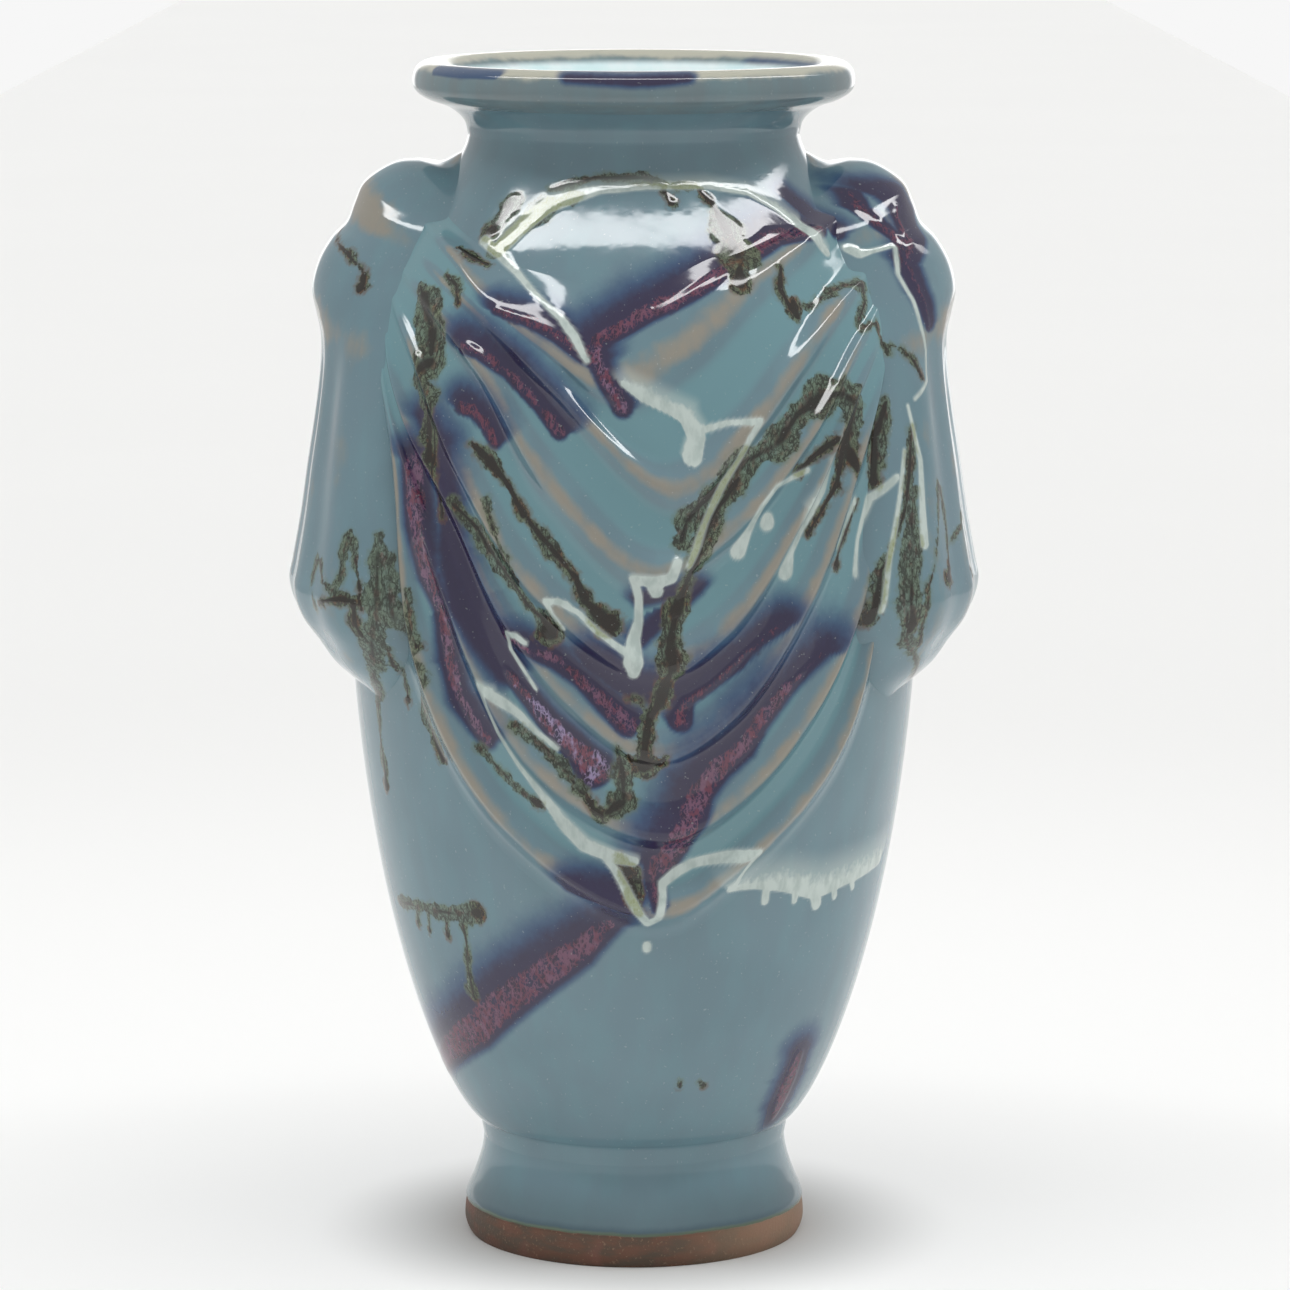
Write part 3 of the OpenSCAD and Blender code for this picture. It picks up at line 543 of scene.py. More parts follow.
# ---- Drapery ----
# Crest of each hanging fold from the top hem to the lowest, as angles and heights from the left.
CRESTS = (
    ((-64, 268), (-46, 262), (-32, 252), (-18, 242), (-5, 234), (10, 242.5), (24, 255),
     (42, 264.5), (64, 270)),
    ((-64, 263), (-46, 256), (-31, 247), (-16, 234), (6, 208.5), (20, 220), (34, 238), (48, 250), (64, 257)),
    ((-64, 258), (-47, 250), (-30, 236), (-16, 211), (2, 188), (18, 198), (34, 219), (48, 238), (64, 250)),
    ((-63, 252), (-48, 238), (-34, 213), (-19, 184), (2, 164), (18, 174), (33, 201), (47, 228), (63, 247)),
    ((-62, 247), (-48, 222), (-36, 203), (-21, 169), (1, 143), (19, 152), (35, 181), (48, 215), (62, 244)),
    ((-61, 242), (-46, 208), (-37, 180), (-21, 141), (3, 121.5), (22, 131), (41, 160), (53, 195), (62, 241)),
    ((-60, 238), (-50.5, 213), (-45, 165), (-28, 126), (1, 101), (21, 112), (44, 142),
     (54.5, 184), (64, 238)),
)
# Height above the wall of the top crest at each of its places, and of the other crests
HEM_RISE = (3.2, 3.4, 3.4, 3.0, 2.2, 1.7, 1.6, 2.0, 2.6)
CREST_RISE = (0, 3.6, 4.2, 4.2, 4.3, 4.6, 5.6)
HOLLOW = 0.9       # height of the hollows between them, as first set
SIDE_RISE = 3.2    # height that every lower crest comes to beside the gathers
# Width over which the cloth meets the wall beyond the end crests, in the middle and at the sides
HEM_UP, HEM_DOWN = (22.0, 6.0), (11.0, 11.0)
FOLD_ROWS = 26     # rows of points from one crest to the next
SWAG_COLS = 400
SUNK = 0.06        # how far every border is bedded below the wall's surface
BED = 1.5          # depth of the hidden inner skin


def swag(name, turned, material, node):
    """Folds hung between the gathers.

    Crest k is a Catmull-Rom curve through its places, and places between crests lie on a
    Catmull-Rom curve through the seven crests. With f the share of the way from one crest to the
    next, the rise is crest - (crest - hollow)(1 - (1/2 + cos(2 pi f)/2)^2.6) d, where d goes from
    0 to 1 as the crests come to lie 5 to 18 mm apart. Beyond the end crests it eases to the wall.
    """
    s = np.linspace(0, len(CRESTS[0]) - 1, SWAG_COLS + 1)
    lines = np.stack([through(line, s) for line in CRESTS])
    last = len(CRESTS) - 1
    t = np.linspace(0, last, last * FOLD_ROWS + 1)
    folds = through(lines, t)
    side = np.abs(s / s[-1] * 2 - 1)
    tall = np.array(CREST_RISE)[:, None] + 0 * s
    tall[0] = np.interp(s, np.arange(len(HEM_RISE)), HEM_RISE)
    tall[1:] += (SIDE_RISE - tall[1:]) * ease(0.3, 0.9, side)
    crest = tall[np.floor(t).astype(int)] * (1 - t % 1)[:, None]
    crest = crest + tall[np.ceil(t).astype(int)] * (t % 1)[:, None]
    wave = (0.5 + 0.5 * np.cos(2 * np.pi * t)) ** 2.6
    apart = np.hypot(np.radians(np.diff(lines[..., 0], axis=0)) * wall_r(lines[1:, :, 1]),
                     np.diff(along_wall(lines[..., 1]), axis=0))
    deep = ease(5, 18, apart)[np.minimum(t.astype(int), last - 1)] * (1 - wave[:, None])
    hollow = bpy.context.scene.vase_clay.hollow / MM
    rise = crest - (crest - hollow) * deep

    def hem(line, width, rows, sign, top, hug):
        """Rows that step off an end crest at right angles to it and ease down to the wall."""
        reach = wall_r(line[:, 1])
        step = np.gradient(np.stack([np.radians(line[:, 0]) * reach, along_wall(line[:, 1])], -1),
                           axis=0)
        step /= np.linalg.norm(step, axis=1)[:, None]
        f = np.linspace(0, 1, rows + 1)[1:, None]
        width = width[0] + (width[1] - width[0]) * ease(0.15, 0.85, side)
        shift_a = np.degrees(-sign * step[:, 1] * width / reach)
        out, up = wall_lean(line[:, 1])
        shift_z = sign * step[:, 0] * width * out
        places = np.stack([line[:, 0] + f * shift_a, line[:, 1] + f * shift_z], -1)
        fall = (1 - np.sin(np.pi / 2 * f) ** 1.3) ** hug
        return places, (top + SUNK) * fall - SUNK, 0.3 + 0.7 * (1 - ease(0, 0.5, f))

    upper, upper_rise, upper_wave = hem(lines[0], HEM_UP, 24, 1, crest[0], 1.0)
    lower, lower_rise, lower_wave = hem(lines[-1], HEM_DOWN, 20, -1, crest[-1], 1.4)
    places = np.concatenate([upper[::-1], folds, lower])[::-1]
    rise = np.concatenate([upper_rise[::-1], rise, lower_rise])[::-1]
    wave = np.concatenate([upper_wave[::-1, 0], wave, lower_wave[:, 0]])[::-1]
    wave = np.repeat(wave[:, None], rise.shape[1], 1) * (1 - ease(0.72, 0.93, side))
    angle, z = places[..., 0] + turned, places[..., 1]
    lift = run_lift(glaze_fields(angle, z)) * (rise > 0.4)
    return relief(name, angle, z, on_wall(angle, z, rise + lift), on_wall(angle, z, -BED + 0 * z),
                  wave, 8, material, "drape_glaze", node)


# Middle outline of a gather and its tail, from the tail's hem up: radius, height, half the angle
# that it covers, and the height at which its edges meet the wall
SIDE = (
    (72.5, 149.0, 26, 147.0), (79.0, 154.8, 34, 153.0), (83.5, 161.0, 39, 160.0),
    (88.2, 167.5, 42, 167.0), (90.4, 174.5, 43, 174.0), (89.4, 181.0, 42.5, 181.0),
    (87.2, 193.0, 41, 193.0), (85.3, 206.0, 39, 206.0), (83.4, 218.0, 37.5, 218.0),
    (82.2, 227.0, 36.5, 227.0), (81.6, TIE_Z, 36, TIE_Z), (81.7, 240.0, 35.5, 239.5),
    (82.6, 245.0, 35, 244.0), (83.6, 251.5, 34.5, 250.0), (82.0, 258.5, 34, 256.0),
    (78.5, 264.5, 33, 260.5), (74.6, 268.5, 32, 264.0), (72.4, 273.5, 31, 268.0),
    (69.5, 279.0, 29, 272.0), (62.5, 283.6, 26, 276.0), (56.5, 284.6, 22, 279.5),
    (50.0, 284.0, 17, 282.5), (44.6, 286.5, 9, 285.5),
)
TIE = 10     # which of those places is the tie
PLEATS = 3   # pleats on each half of a tail
PLEAT = 1.1  # how deep they are, as first set
LOBE = 2.0   # how far the gather swells between its lowest and highest places


def side_cloth(name, middle, first, last, rows, cols, material, node):
    """Part of a gather and tail between two places of their outline.

    Across it, u runs from -1 to 1. The outline's place stands at u = 0 and the wall at the edges,
    with the share (1 - |u|^p)^q between, where p and q pass from 5 and 0.8 on the tail to 2 and
    1.2 on the gather. Pleats sink it by a cosine, and lobes swell the gather.
    """
    v = np.linspace(first, last, rows + 1)[:, None]
    r, z, half, edge = np.moveaxis(through(SIDE, v[:, 0]), -1, 0)[..., None]
    u = np.linspace(-1, 1, cols + 1)[None]
    bunch = ease(TIE - 2, TIE + 4, v)
    p, q = 5 - 3 * bunch, 0.8 + 0.4 * bunch
    share = (1 - np.abs(u) ** p) ** q
    pleat = 0.5 + 0.5 * np.cos(2 * np.pi * PLEATS * u * (1 - 0.12 * bunch))
    depth = bpy.context.scene.vase_clay.pleat / MM * (1 - bunch)
    depth = depth * ease(0, 4, v) * ease(0, 0.3, 1 - np.abs(u))
    height = edge + (z - edge) * share
    angle = middle + half * u
    stand = (r - wall_r(z) + SUNK) * share - SUNK
    knot = 0.5 + 0.5 * np.sin(1.15 * (v - TIE) + 2.2 * np.abs(u) - 1.0)
    lobes = LOBE * bunch * (knot ** 1.5 - 0.5) * np.sin(np.pi * np.clip(share, 0, 0.95))
    lobes = lobes * (1 - ease(20, 22, v))
    radius = wall_r(height) + stand - depth * (1 - pleat) * share ** 0.5 + lobes
    under = on_wall(angle, height, -BED + 0 * radius)
    crest = 0.25 + (0.45 * pleat * (1 - bunch) + 1.0 * knot ** 2 * bunch) * share ** 0.5
    lift = run_lift(glaze_fields(angle, height))
    points = round_vase(angle, radius + lift * ease(0, 0.1, 1 - np.abs(u)), height)
    return relief(name, angle, height, points, under, crest, 10, material, "gather_glaze", node)


# ---- Glazes ----

class Wire:
    """A value in a material's node tree. Arithmetic on it adds Math nodes."""

    def __init__(self, tree, socket=None):
        self.tree, self.socket = tree, socket

    def node(self, kind, settings, inputs, out=0):
        """Adds a node of a kind, sets its settings first, then its sockets to values or links."""
        made = self.tree.nodes.new("ShaderNode" + kind)
        for key, value in settings.items():
            setattr(made, key, value)
        for key, value in inputs.items():
            if isinstance(value, Wire):
                self.tree.links.new(value.socket, made.inputs[key])
            else:
                made.inputs[key].default_value = value
        return Wire(self.tree, made.outputs[out])

    def math(self, operation, *values):
        """One Math node of an operation on this value and the others."""
        return self.node("Math", {"operation": operation}, dict(enumerate((self,) + values)))

    def __add__(self, other):
        return self.math("ADD", other)

    def __mul__(self, other):
        return self.math("MULTIPLY", other)

    def __sub__(self, other):
        return self.math("SUBTRACT", other)

    def __rsub__(self, other):
        return self * -1.0 + other

    __radd__, __rmul__ = __add__, __mul__

    def over(self, low, high):
        """0 at low and 1 at high, smooth between; low may be the larger."""
        return self.node("MapRange", {"interpolation_type": "SMOOTHSTEP"},
                         {"Value": self, "From Min": low, "From Max": high})

    def most(self, other):
        return self.math("MAXIMUM", other)

    def tint(self, base, layer):
        """The base colour with the layer colour over it, by this value."""
        def colour(value):
            return value if isinstance(value, Wire) else (*value, 1.0)
        return self.node("Mix", {"data_type": "RGBA", "clamp_factor": True},
                         {0: self, 6: colour(base), 7: colour(layer)}, 2)

    def grain(self, size, stretch=1.0, detail=2.0, shift=0.0):
        """Noise about 0.5 over this vector, with features size mm across and stretch times as tall."""
        spot = self.node("VectorMath", {"operation": "MULTIPLY_ADD"}, {
            0: self, 1: (1 / size, 1 / size, 1 / size / stretch), 2: (shift, shift, shift)})
        return self.node("TexNoise", {}, {"Vector": spot, "Scale": 1.0, "Detail": detail,
                                          "Roughness": 0.55})

    def threads(self, size, stretch, sharp, shift=0.0):
        """Fine branching lines: 1 where noise crosses its middle, falling to 0 away from it."""
        away = (self.grain(size, stretch, 3.0, shift) - 0.5).math("ABSOLUTE")
        return (1 - away * sharp).most(0.0)

    def parts(self):
        """The three numbers of this vector."""
        split = self.node("SeparateXYZ", {}, {0: self})
        return [Wire(self.tree, split.socket.node.outputs[k]) for k in range(3)]


def blank_glaze(name):
    """An empty material: its start wire, object coordinates in millimetres, and its shader."""
    made = bpy.data.materials.new(name)
    made.use_nodes = True
    start = Wire(made.node_tree)
    place = start.node("TexCoord", {}, {}, "Object")
    place = start.node("VectorMath", {"operation": "SCALE"}, {0: place, "Scale": 1 / MM})
    return made, start, place, made.node_tree.nodes["Principled BSDF"]


def fired(start, shader, colour, rough, bump, bump_height, values):
    """Wires colour, roughness and a bump of bump_height millimetres into the shader."""
    tree = start.tree
    for key, value in values.items():
        shader.inputs[key].default_value = value
    tree.links.new(colour.socket, shader.inputs["Base Color"])
    if isinstance(rough, Wire):
        tree.links.new(rough.socket, shader.inputs["Roughness"])
    else:
        shader.inputs["Roughness"].default_value = rough
    lifted = start.node("Bump", {}, {"Strength": 1.0, "Distance": bump_height * MM,
                                     "Height": bump})
    tree.links.new(lifted.socket, shader.inputs["Normal"])


def attribute(start, name):
    """The three numbers that the mesh carries under a name."""
    return start.node("Attribute", {"attribute_type": "GEOMETRY", "attribute_name": name}, {},
                      "Vector").parts()


def ground_coat(place, tints, ground):
    """The plain glaze: slow clouds and faint downward streaks between two depths of colour."""
    streak = place.grain(7, 4, 3, 3)
    cloud = place.grain(30, 1.2, 2, 19)
    colour = (streak.over(0.35, 0.7) * 0.30).tint(ground, tints.hollow)
    return (cloud.over(0.42, 0.7) * 0.30).tint(colour, tints.deep_ground)


def run_glaze(name, tints, ground, crest):
    """The run glaze: a streaked ground, with violet, iron and cream runs over it.

    Runs follow the mesh's distances to their edges, moved by two sizes of noise. ground is the
    colour of thick glaze and crest that of thin glaze on a fold or an edge.
    """
    made, start, place, shader = blank_glaze(name)
    iron, solid, heart = attribute(start, "iron")
    blue, deep, _ = attribute(start, "haze")
    core, lavender, cream = attribute(start, "core")
    thin, mouth, _ = attribute(start, "form")
    slow = place.grain(6, 1.5, 3) - 0.5
    fast = place.grain(1.6, 1.2, 2, 7) - 0.5
    dapple = place.grain(2.6, 2.5, 3, 11)

    colour = ground_coat(place, tints, ground)
    colour = (thin.over(0.28, 0.0) * 0.85).tint(colour, tints.hollow)
    patchy = (place.grain(11, 1.0, 2, 47) - 0.5) * 0.8
    ridge = (thin + (dapple - 0.5) * 0.3 + patchy).over(0.60, 1.10) * 0.95
    colour = ridge.tint(colour, crest)

    colour = ((blue + slow * 0.30 + fast * 0.12).over(0.02, 0.80) * 0.93).tint(colour, tints.halo)
    colour = (deep + slow * 0.4 + fast * 0.25).over(0.38, 1.0).tint(colour, tints.violet)

    edge = core + slow * 3.4 + fast * 2.4 + 0.3
    body = edge.over(0.4, -0.3)
    lace = place.threads(2.4, 2.4, 12.0, 51).most(place.threads(1.0, 1.8, 9.0, 61) * 0.75)
    lace = (lace + edge.over(-0.2, -1.6) * 0.2 - 0.25).over(0.10, 0.75) * (0.75 + lavender * 0.25)
    plum = dapple.over(0.4, 0.6).tint(tints.violet, tints.plum)
    bright = (lavender * place.grain(3, 1.5, 2, 71).over(0.42, 0.56)).tint(tints.rose, tints.lavender)
    colour = body.tint(colour, lace.tint(plum, bright))
    colour = (edge.over(1.2, 0.2) * edge.over(-0.4, 0.1) * 0.7).tint(colour, tints.violet)

    rust = iron + slow * 3.2 + fast * 1.8
    fringe = rust.over(1.3, 0.1) * (0.15 + solid * 0.45) * place.grain(4, 1, 2, 81).over(0.35, 0.6)
    colour = fringe.tint(colour, solid.over(0.6, 0.95).tint(tints.olive, tints.rust))
    vein = place.threads(2.2, 2.2, 9.0, 91).most(place.threads(0.9, 1.8, 7.0, 95) * 0.8)
    black = (heart + slow * 0.7 + fast * 0.4 + solid * 0.9).over(1.05, 1.45)
    dark = (vein.over(0.35, 0.9) * (0.75 + solid * 0.25)).most(black)
    veil = rust.over(0.35, -0.3) * (0.55 + solid * 0.3)
    middle = (place.grain(2.2, 1.5, 2, 83) + heart * 0.25 + solid * 0.3 - 0.4).over(0.4, 0.6)
    colour = veil.tint(colour, middle.tint(tints.olive, tints.rust))
    colour = (rust.over(0.3, -0.2) * dark * 0.95).tint(colour, tints.iron)

    pale = (cream + fast * 0.35 + slow * 0.2).over(0.38, 0.6)
    colour = (cream.over(0.0, 0.5) * 0.45).tint(colour, tints.cream)
    mottle = dapple.over(0.4, 0.7).tint(tints.cream, tints.cream_thin)
    mottle = (rust.over(0.8, -0.4) * (0.95 - vein * 0.3)).tint(mottle, tints.moss)
    colour = (pale * 0.95).tint(colour, mottle)

    speck = place.grain(0.9, 1.0, 1, 31).over(0.70, 0.80)
    colour = (speck * 0.22).tint(colour, tints.cream)
    inside = place.grain(9, 3, 3, 3).over(0.3, 0.7).tint(tints.inside, tints.inside_deep)
    colour = (mouth + (dapple - 0.5) * 0.06).over(0.3, 0.7).tint(colour, inside)

    bump = place.grain(7, 1.3, 2, 23) + place.grain(1.8, 1.0, 1, 29) * 0.12
    rough = place.grain(9, 1, 2, 41).over(0.3, 0.7) * 0.04 + 0.05
    fired(start, shader, colour, rough, bump, 0.05, {"IOR": 1.6})
    return made


def foot_glaze(name, tints):
    """Bare iron-bearing clay up to the glaze line, then thick pooled glaze with a dark lower edge."""
    made, start, place, shader = blank_glaze(name)
    across, ahead, height = place.parts()
    line = height + (place.grain(14, 1, 2) - 0.5) * 1.6 + (place.grain(2, 1, 2, 5) - 0.5) * 0.5
    grit = place.grain(0.8, 1, 2, 13)
    clay = place.grain(9, 0.35, 3, 17).over(0.35, 0.65).tint(tints.clay, tints.clay_dark)
    clay = (place.grain(12, 1, 2, 27).over(0.5, 0.65) * 0.8).tint(clay, tints.clay_red)
    # Painted light: the bare clay is paler towards the right side, where more light falls on it
    clay = (across.over(5, 40) * 0.6).tint(clay, tints.grit_and_lit_clay)
    clay = (grit.over(0.6, 0.72) * 0.4).tint(clay, tints.grit_and_lit_clay)
    glaze = ground_coat(place, tints, tuple(tints.ground))
    glaze = (line.over(24.0, 9.0) * 0.75).tint(glaze, tints.foot)
    glaze = (line.over(11.5, 8.8) * ahead.over(0, -35) * 0.8).tint(glaze, tints.pool)
    glaze = (line.over(9.9, 8.9) * 0.7).tint(glaze, tints.olive)
    covered = line.over(8.4, 8.8)
    colour = covered.tint(clay, glaze)
    bump = covered * place.grain(7, 1.3, 2, 23) + (1 - covered) * (grit * 1.6 + 0.2)
    rough = 0.6 - covered * 0.53
    fired(start, shader, colour, rough, bump, 0.08, {"IOR": 1.5})
    return made


def inside_glaze(name, tints):
    """The pale glaze inside, pooled deeper at the floor."""
    made, start, place, shader = blank_glaze(name)
    colour = place.grain(8, 1, 3).over(0.3, 0.7).tint(tints.inside, tints.inside_deep)
    fired(start, shader, colour, 0.1, place.grain(5, 1, 2, 3), 0.2, {"IOR": 1.5})
    return made


def colour_prop(name, description, default):
    """A colour that can be changed in the panel."""
    return FloatVectorProperty(name=name, description=description, default=default, size=3,
                               min=0, max=1, subtype="COLOR")


class VaseTints(PropertyGroup):
    """Colours of the glazes and the clay, in linear light."""

    ground: colour_prop("Ground", "Thick glaze on the plain wall", (0.150, 0.240, 0.282))
    deep_ground: colour_prop("Deep ground", "Glaze where it is thickest", (0.105, 0.180, 0.215))
    hollow: colour_prop("Hollow", "Pooled glaze between folds", (0.150, 0.300, 0.335))
    crest: colour_prop("Crest", "Thin glaze that breaks on a fold", (0.290, 0.265, 0.215))
    edge: colour_prop("Edge", "Thin glaze on the wall's curves", (0.240, 0.265, 0.250))
    lip: colour_prop("Lip", "Thin glaze on the lip", (0.500, 0.490, 0.400))
    rim: colour_prop("Rim", "Glaze on the rolled rim", (0.170, 0.215, 0.225))
    halo: colour_prop("Halo", "Blue round a violet run", (0.030, 0.070, 0.160))
    violet: colour_prop("Violet", "Dark ground of a violet run", (0.028, 0.022, 0.062))
    plum: colour_prop("Plum", "Dull lace in a violet run", (0.030, 0.016, 0.042))
    rose: colour_prop("Rose", "Bright lace in a violet run", (0.175, 0.045, 0.075))
    lavender: colour_prop("Lavender", "Pale lace in a violet run", (0.330, 0.270, 0.450))
    rust: colour_prop("Rust", "Fringe of an iron run", (0.140, 0.062, 0.018))
    olive: colour_prop("Olive", "Thin iron run", (0.125, 0.165, 0.090))
    iron: colour_prop("Iron", "Thick iron run", (0.014, 0.012, 0.009))
    cream: colour_prop("Cream", "Thick cream run", (0.560, 0.640, 0.600))
    cream_thin: colour_prop("Thin cream", "Cream run where it thins", (0.420, 0.500, 0.470))
    moss: colour_prop("Moss", "Cream run that lies over an iron one", (0.270, 0.310, 0.150))
    inside: colour_prop("Inside", "Glaze inside the mouth", (0.860, 0.960, 0.965))
    inside_deep: colour_prop("Inside, deep", "Glaze inside, where it pools", (0.700, 0.900, 0.915))
    foot: colour_prop("Foot", "Glaze on the foot", (0.085, 0.125, 0.142))
    pool: colour_prop("Pool", "Glaze that gathers above the foot's bare edge", (0.040, 0.075, 0.105))
    clay: colour_prop("Clay", "Bare fired clay", (0.130, 0.058, 0.034))
    clay_dark: colour_prop("Dark clay", "Scorched bare clay", (0.080, 0.055, 0.036))
    clay_red: colour_prop("Red clay", "Flashed bare clay", (0.170, 0.068, 0.046))
    # Used for the clay's real grit, and as painted light on the bare clay's right side
    grit_and_lit_clay: colour_prop("Pale clay", "Grit in the bare clay", (0.330, 0.210, 0.130))


class VaseClay(PropertyGroup):
    """Sizes of the clay work that the frame leaves to the maker."""

    hollow: FloatProperty(name="Hollow", description="Height of the hollows between folds",
                          default=HOLLOW * MM, min=0, unit="LENGTH")
    pleat: FloatProperty(name="Pleat", description="Depth of the pleats in the tails",
                         default=PLEAT * MM, min=0, unit="LENGTH")


class VaseStudio(PropertyGroup):
    """Light, floor and camera of the picture."""

    wall_light: FloatProperty(name="Room", description="Brightness of the white room", default=2.3)
    dusk: FloatProperty(name="Dusk", description="Brightness of the room behind the camera",
                        default=0.58)
    strip: FloatProperty(name="Strip", description="Brightness of the overhead strip light",
                         default=10.0, min=0)
    backdrop: FloatProperty(name="Backdrop", description="Brightness of the white seen behind",
                            default=0.93, min=0)
    # Painted light: the floor glows by its own emission far from the vase and not beside it, which leaves a
    # painted shadow round the foot
    painted_floor_glow: FloatProperty(name="Floor glow", description="Brightness of the floor far from the vase",
                         default=0.39, min=0)
    distance: FloatProperty(name="Distance", description="From the vase's axis to the camera",
                            default=1.44196, unit="LENGTH", subtype="DISTANCE")
    lens: FloatProperty(name="Lens", description="Focal length", default=154.9)
    # Kept grey, so that where the painted glow is absent round the foot the floor shows a painted shadow
    floor: FloatVectorProperty(name="Floor", description="Colour of the floor", size=3,
                               default=(0.56, 0.56, 0.55), min=0, max=1, subtype="COLOR")


def tints():
    return bpy.context.scene.vase_tints


def kept(name, maker, *values):
    """A material that several pieces share, made the first time it is asked for."""
    return bpy.data.materials.get(name) or maker(name, *values)


def wall_glaze():
    t = tints()
    return kept("body_glaze_run", run_glaze, t, tuple(t.ground), tuple(t.edge))


def fold_glaze():
    t = tints()
    return kept("drape_glaze_run", run_glaze, t, tuple(t.ground), tuple(t.crest))


# ---- Operators ----

class VASE_OT_throw_wall(Operator):
    """Throws the wall as three rings: lower, belly and shoulder"""

    bl_idname = "vase.throw_wall"
    bl_label = "Throw the wall"

    def execute(self, context):
        for name, low, high, node in (("thrown_lower", FOOT_H, JOIN_Z, "lower_wall"),
                                      ("thrown_belly", JOIN_Z, BELLY_Z, "belly_wall"),
                                      ("thrown_shoulder", BELLY_Z, COLLAR_Z, "shoulder_wall")):
            s = np.linspace(along_wall(low), along_wall(high), 130)
            z = np.interp(s, LENGTH_S, LENGTH_Z)
            z[0], z[-1] = low, high
            within = np.linspace(high, low, 12)
            ring(name, np.stack([wall_r(z), z], -1), np.stack([wall_r(within) - WALL, within], -1),
                 plain_form(len(z)), True, True, wall_glaze(), "body_glaze", node)
        return {"FINISHED"}


# Outline of the neck and the rolled rim, once over the lip, as radii and heights
LIP = ((42.9, 291.0), (44.1, 295.0), (48.0, 298.3), (53.6, 300.4), (56.6, 302.6), (57.2, 305.4),
       (56.3, 308.3), (53.8, RIM_Z), (50.8, 309.6), (47.5, 307.2), (43.5, 303.0), (40.0, 298.0),
       (37.8, 293.0), (36.9, 287.0))
ROLL_ENDS = ((49.5, 299.2), (43.5, 303.0))  # where the roll joins the neck, outside and inside


class VASE_OT_throw_neck(Operator):
    """Throws the short neck and rolls the rim over on it"""

    bl_idname = "vase.throw_neck"
    bl_label = "Throw the neck and rim"

    def execute(self, context):
        line = even(LIP, 90)
        split, crossed = (int(np.argmin(np.hypot(*(line - place).T))) for place in ROLL_ENDS)
        low = np.linspace(COLLAR_Z, LIP[0][1], 15)[:-1]
        throat = np.linspace(LIP[-1][1], COLLAR_Z, 4)[1:]
        outer = np.concatenate([np.stack([wall_r(low), low], -1), line[:split + 1]])
        inner = np.concatenate([line[crossed:], np.stack([wall_r(throat) - WALL, throat], -1)])
        form = plain_form(len(outer))
        ring("thrown_neck", outer, inner, form, True, True, wall_glaze(), "body_glaze",
             "neck_collar")
        roll = line[split:crossed + 1]
        form = plain_form(len(roll))
        over = np.arange(len(roll)) / len(roll)
        form[:, 0] = 0.3 + 0.9 * np.exp(-((roll[:, 1] - RIM_Z) / 2.4) ** 2)
        form[:, 1] = ease(0.62, 0.98, over)
        within = np.linspace(line[crossed], line[split], 4)[1:-1]
        glaze = kept("rim_glaze_run", run_glaze, tints(), tuple(tints().rim), tuple(tints().lip))
        ring("rolled_rim", roll, within, form, True, True, glaze, "rim_glaze", "rim_roll")
        return {"FINISHED"}


HEEL_H, HEEL_IN = 4, 1.3  # height of the foot's rounded heel, and how far it draws in at its base
POOL = 0.45               # how proud the glaze stands where it gathers above the bare edge


def foot_side(z):
    """Radius of the foot at height z: a rounded heel, then a cosine from the heel in to the waist."""
    heel = FOOT_R - HEEL_IN * (1 - z / HEEL_H) ** 2
    swell = (FOOT_R - WAIST_R) * (1 + np.cos(np.pi * (z - HEEL_H) / (FOOT_H - HEEL_H))) / 2
    return np.where(z < HEEL_H, heel, WAIST_R + swell)


class VASE_OT_turn_foot(Operator):
    """Turns the foot with its bare edge and hollow underside, and sets the floor in it"""

    bl_idname = "vase.turn_foot"
    bl_label = "Turn the foot and floor"

    def execute(self, context):
        z = np.linspace(0, FOOT_H, 60)
        r = foot_side(z) + POOL * ease(8.3, 9.3, z) * (1 - ease(9.7, 15, z))
        recess = SLAB_R - 3.0
        inner = even(((SLAB_R, FOOT_H), (SLAB_R, SLAB_LOW)), 3)
        below = even(((recess, SLAB_LOW), (recess, 1.5)), 6)
        heel = np.array([(recess + 0.5, 0.4), (recess + 1.4, 0.0), (FOOT_R - 2.2, 0.0)])
        glaze = kept("foot_glaze_line", foot_glaze, tints())
        ring("turned_foot", np.stack([r, z], -1), np.concatenate([inner, below, heel]),
             plain_form(len(z)), False, False, glaze, "foot_glaze", "foot_ring")
        steps = np.linspace(0.06, 1, 24)
        lower = np.stack([SLAB_R * steps, SLAB_LOW + 0 * steps], -1)
        upper = np.stack([SLAB_R * steps[::-1], SLAB_TOP + 0 * steps], -1)
        pooled = kept("inside_glaze_pool", inside_glaze, tints())
        disc("vase_floor", np.concatenate([lower, upper]), pooled, "inside_glaze", "floor_slab")
        return {"FINISHED"}


def disc(name, outline, material, slot, node):
    """A turned solid closed by a pole at each end of its outline, which goes out, up and in."""
    angle = np.arange(0, 360, 4.0)
    rows, cols = len(outline), len(angle)
    body = round_vase(np.broadcast_to(angle, (rows, cols)), outline[:, :1], outline[:, 1:])
    poles = np.array([[0, 0, outline[0, 1]], [0, 0, outline[-1, 1]]])
    points = np.concatenate([body.reshape(-1, 3), poles])
    c = np.arange(cols)
    last = (rows - 1) * cols
    under = np.stack([np.roll(c, -1), c, np.full(cols, rows * cols)], -1)
    over = np.stack([last + c, last + np.roll(c, -1), np.full(cols, rows * cols + 1)], -1)
    return piece(name, points, [grid_quads(rows, cols, False, True), under, over], {}, material,
                 slot, node)


class VASE_OT_hang_swags(Operator):
    """Hangs the front and back swags and lays their folds"""

    bl_idname = "vase.hang_swags"
    bl_label = "Hang the swags"

    def execute(self, context):
        swag("front_swag", 0, fold_glaze(), "front_drape")
        swag("back_swag", 180, fold_glaze(), "back_drape")
        return {"FINISHED"}


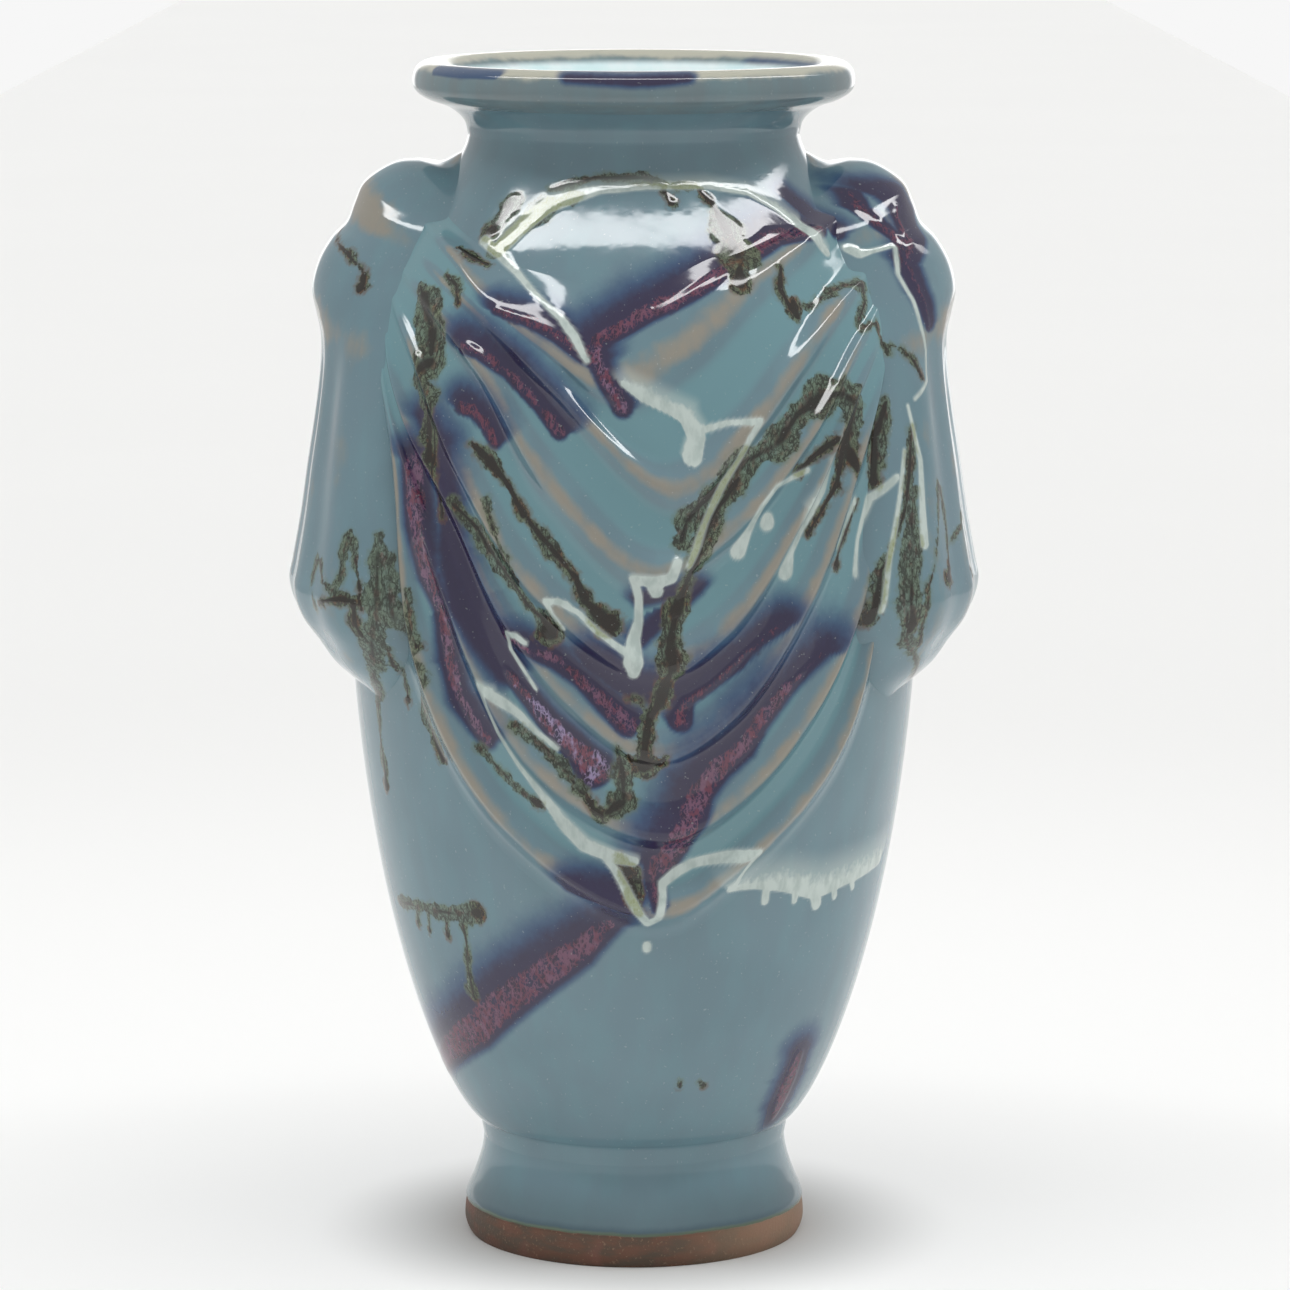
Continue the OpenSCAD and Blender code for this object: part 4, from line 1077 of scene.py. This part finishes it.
class VASE_OT_tie_gathers(Operator):
    """Bunches the cloth at each side and lets the tails fall from the ties"""

    bl_idname = "vase.tie_gathers"
    bl_label = "Tie the gathers"

    def execute(self, context):
        for side, middle in (("left", -90), ("right", 90)):
            side_cloth(f"{side}_bunch", middle, TIE, len(SIDE) - 1, 150, 200, fold_glaze(),
                       f"{side}_gather")
            side_cloth(f"{side}_fall", middle, 0, TIE, 170, 240, fold_glaze(), f"{side}_tail")
        return {"FINISHED"}


# The stage, in metres: half the floor's width, its near and far edge, and the camera's place
FLOOR_HALF, FLOOR_NEAR, FLOOR_FAR = 0.75, -0.7, 12
CAMERA_X, CAMERA_Z, AIM_Z = 0.0029, 0.38696, 0.15674
SENSOR = 36  # width of the camera's frame in millimetres
# The overhead strip is drawn on a level plane one unit up. Each edge is a pair of places, dark
# first and full second, and the near and far edges bow with the square of how far across.
STRIP_NEAR, NEAR_BOW = (-0.462, -0.45), 0.50
STRIP_FAR, FAR_BOW = (-0.34, -0.36), 0.57
STRIP_LEFT, STRIP_RIGHT = (-1.15, -0.95), (2.0, 1.1)


class VASE_OT_set_stage(Operator):
    """Sets the floor, the light and the camera"""

    bl_idname = "vase.set_stage"
    bl_label = "Set the stage"

    def execute(self, context):
        studio = context.scene.vase_studio
        floor_mesh = bpy.data.meshes.new("studio_floor")
        corners = [(-FLOOR_HALF, FLOOR_NEAR, 0), (FLOOR_HALF, FLOOR_NEAR, 0),
                   (FLOOR_HALF, FLOOR_FAR, 0), (-FLOOR_HALF, FLOOR_FAR, 0)]
        floor_mesh.from_pydata(corners, [], [(0, 1, 2, 3)])
        floor = bpy.data.objects.new("studio_floor", floor_mesh)
        context.scene.collection.objects.link(floor)
        paint, start, place, shader = blank_glaze("floor_paint")
        colour = (place.grain(400, 1, 2) * 0.04).tint(tuple(studio.floor), (1, 1, 1))
        fired(start, shader, colour, 0.9, place.grain(2), 0.01, {"Specular IOR Level": 0.0})
        away, depth, _ = place.parts()
        away = (away * away + depth * depth).math("SQRT")
        # Painted light and shade: the floor glows by its own emission, with none within 38 mm of the axis,
        # full by 90 mm and a little less far off. With the floor's grey colour this paints the shadow round
        # the foot and keeps the floor white further out
        painted_floor_glow = away.over(38, 90) * (studio.painted_floor_glow - away.over(150, 900) * 0.11)
        shader.inputs["Emission Strength"].default_value = 1.0
        paint.node_tree.links.new(painted_floor_glow.tint((0, 0, 0), (1, 1, 1)).socket,
                                  shader.inputs["Emission Color"])
        floor_mesh.materials.append(paint)

        world = bpy.data.worlds.new("white_room")
        context.scene.world = world
        world.use_nodes = True
        sky = Wire(world.node_tree)
        across, ahead, up = sky.node("TexCoord", {}, {}, "Generated").parts()
        open_side = (ahead + across * 0.05).over(0.985, 0.90)
        light = studio.wall_light - open_side * (studio.wall_light - studio.dusk)
        flat_y = ahead.math("DIVIDE", up.most(0.05))
        flat_x = across.math("DIVIDE", up.most(0.05))
        bow = flat_x * flat_x
        strip = (flat_y - bow * NEAR_BOW).over(*STRIP_NEAR) * (flat_y - bow * FAR_BOW).over(*STRIP_FAR)
        strip = strip * flat_x.over(*STRIP_LEFT) * flat_x.over(*STRIP_RIGHT)
        light = light + strip * studio.strip
        seen = sky.node("LightPath", {}, {}, "Is Camera Ray")
        light = light + seen * (studio.backdrop - light)
        panel = world.node_tree.nodes["Background"]
        panel.inputs["Color"].default_value = (1.0, 1.0, 1.0, 1)
        world.node_tree.links.new(light.socket, panel.inputs["Strength"])

        lens = bpy.data.cameras.new("camera")
        lens.lens = studio.lens
        lens.sensor_width = SENSOR
        camera = bpy.data.objects.new("camera", lens)
        context.scene.collection.objects.link(camera)
        camera.location = (CAMERA_X, -studio.distance, CAMERA_Z)
        look = Vector((CAMERA_X, 0, AIM_Z)) - Vector(camera.location)
        camera.rotation_euler = look.to_track_quat("-Z", "Y").to_euler()
        context.scene.camera = camera
        context.scene.view_settings.view_transform = "Standard"
        return {"FINISHED"}


class VASE_PT_bench(Panel):
    """The vase's pieces and the stage"""

    bl_idname = "VASE_PT_bench"
    bl_label = "Draped vase"
    bl_space_type = "VIEW_3D"
    bl_region_type = "UI"
    bl_category = "Vase"

    def draw(self, context):
        for step in STEPS:
            self.layout.operator(step.bl_idname)
        for group in (context.scene.vase_clay, context.scene.vase_tints, context.scene.vase_studio):
            box = self.layout.box()
            for key in group.__annotations__:
                box.prop(group, key)


STEPS = (VASE_OT_throw_wall, VASE_OT_throw_neck, VASE_OT_turn_foot, VASE_OT_hang_swags,
         VASE_OT_tie_gathers, VASE_OT_set_stage)
GROUPS = {"vase_tints": VaseTints, "vase_clay": VaseClay, "vase_studio": VaseStudio}


def register():
    for made in (*GROUPS.values(), *STEPS, VASE_PT_bench):
        bpy.utils.register_class(made)
    for name, group in GROUPS.items():
        setattr(bpy.types.Scene, name, PointerProperty(type=group))


def unregister():
    for name in GROUPS:
        delattr(bpy.types.Scene, name)
    for made in (VASE_PT_bench, *reversed(STEPS), *GROUPS.values()):
        bpy.utils.unregister_class(made)


def main():
    """Makes every piece in order."""
    register()
    bpy.ops.vase.throw_wall()
    bpy.ops.vase.throw_neck()
    bpy.ops.vase.turn_foot()
    bpy.ops.vase.hang_swags()
    bpy.ops.vase.tie_gathers()
    bpy.ops.vase.set_stage()


if __name__ == "__main__":
    main()
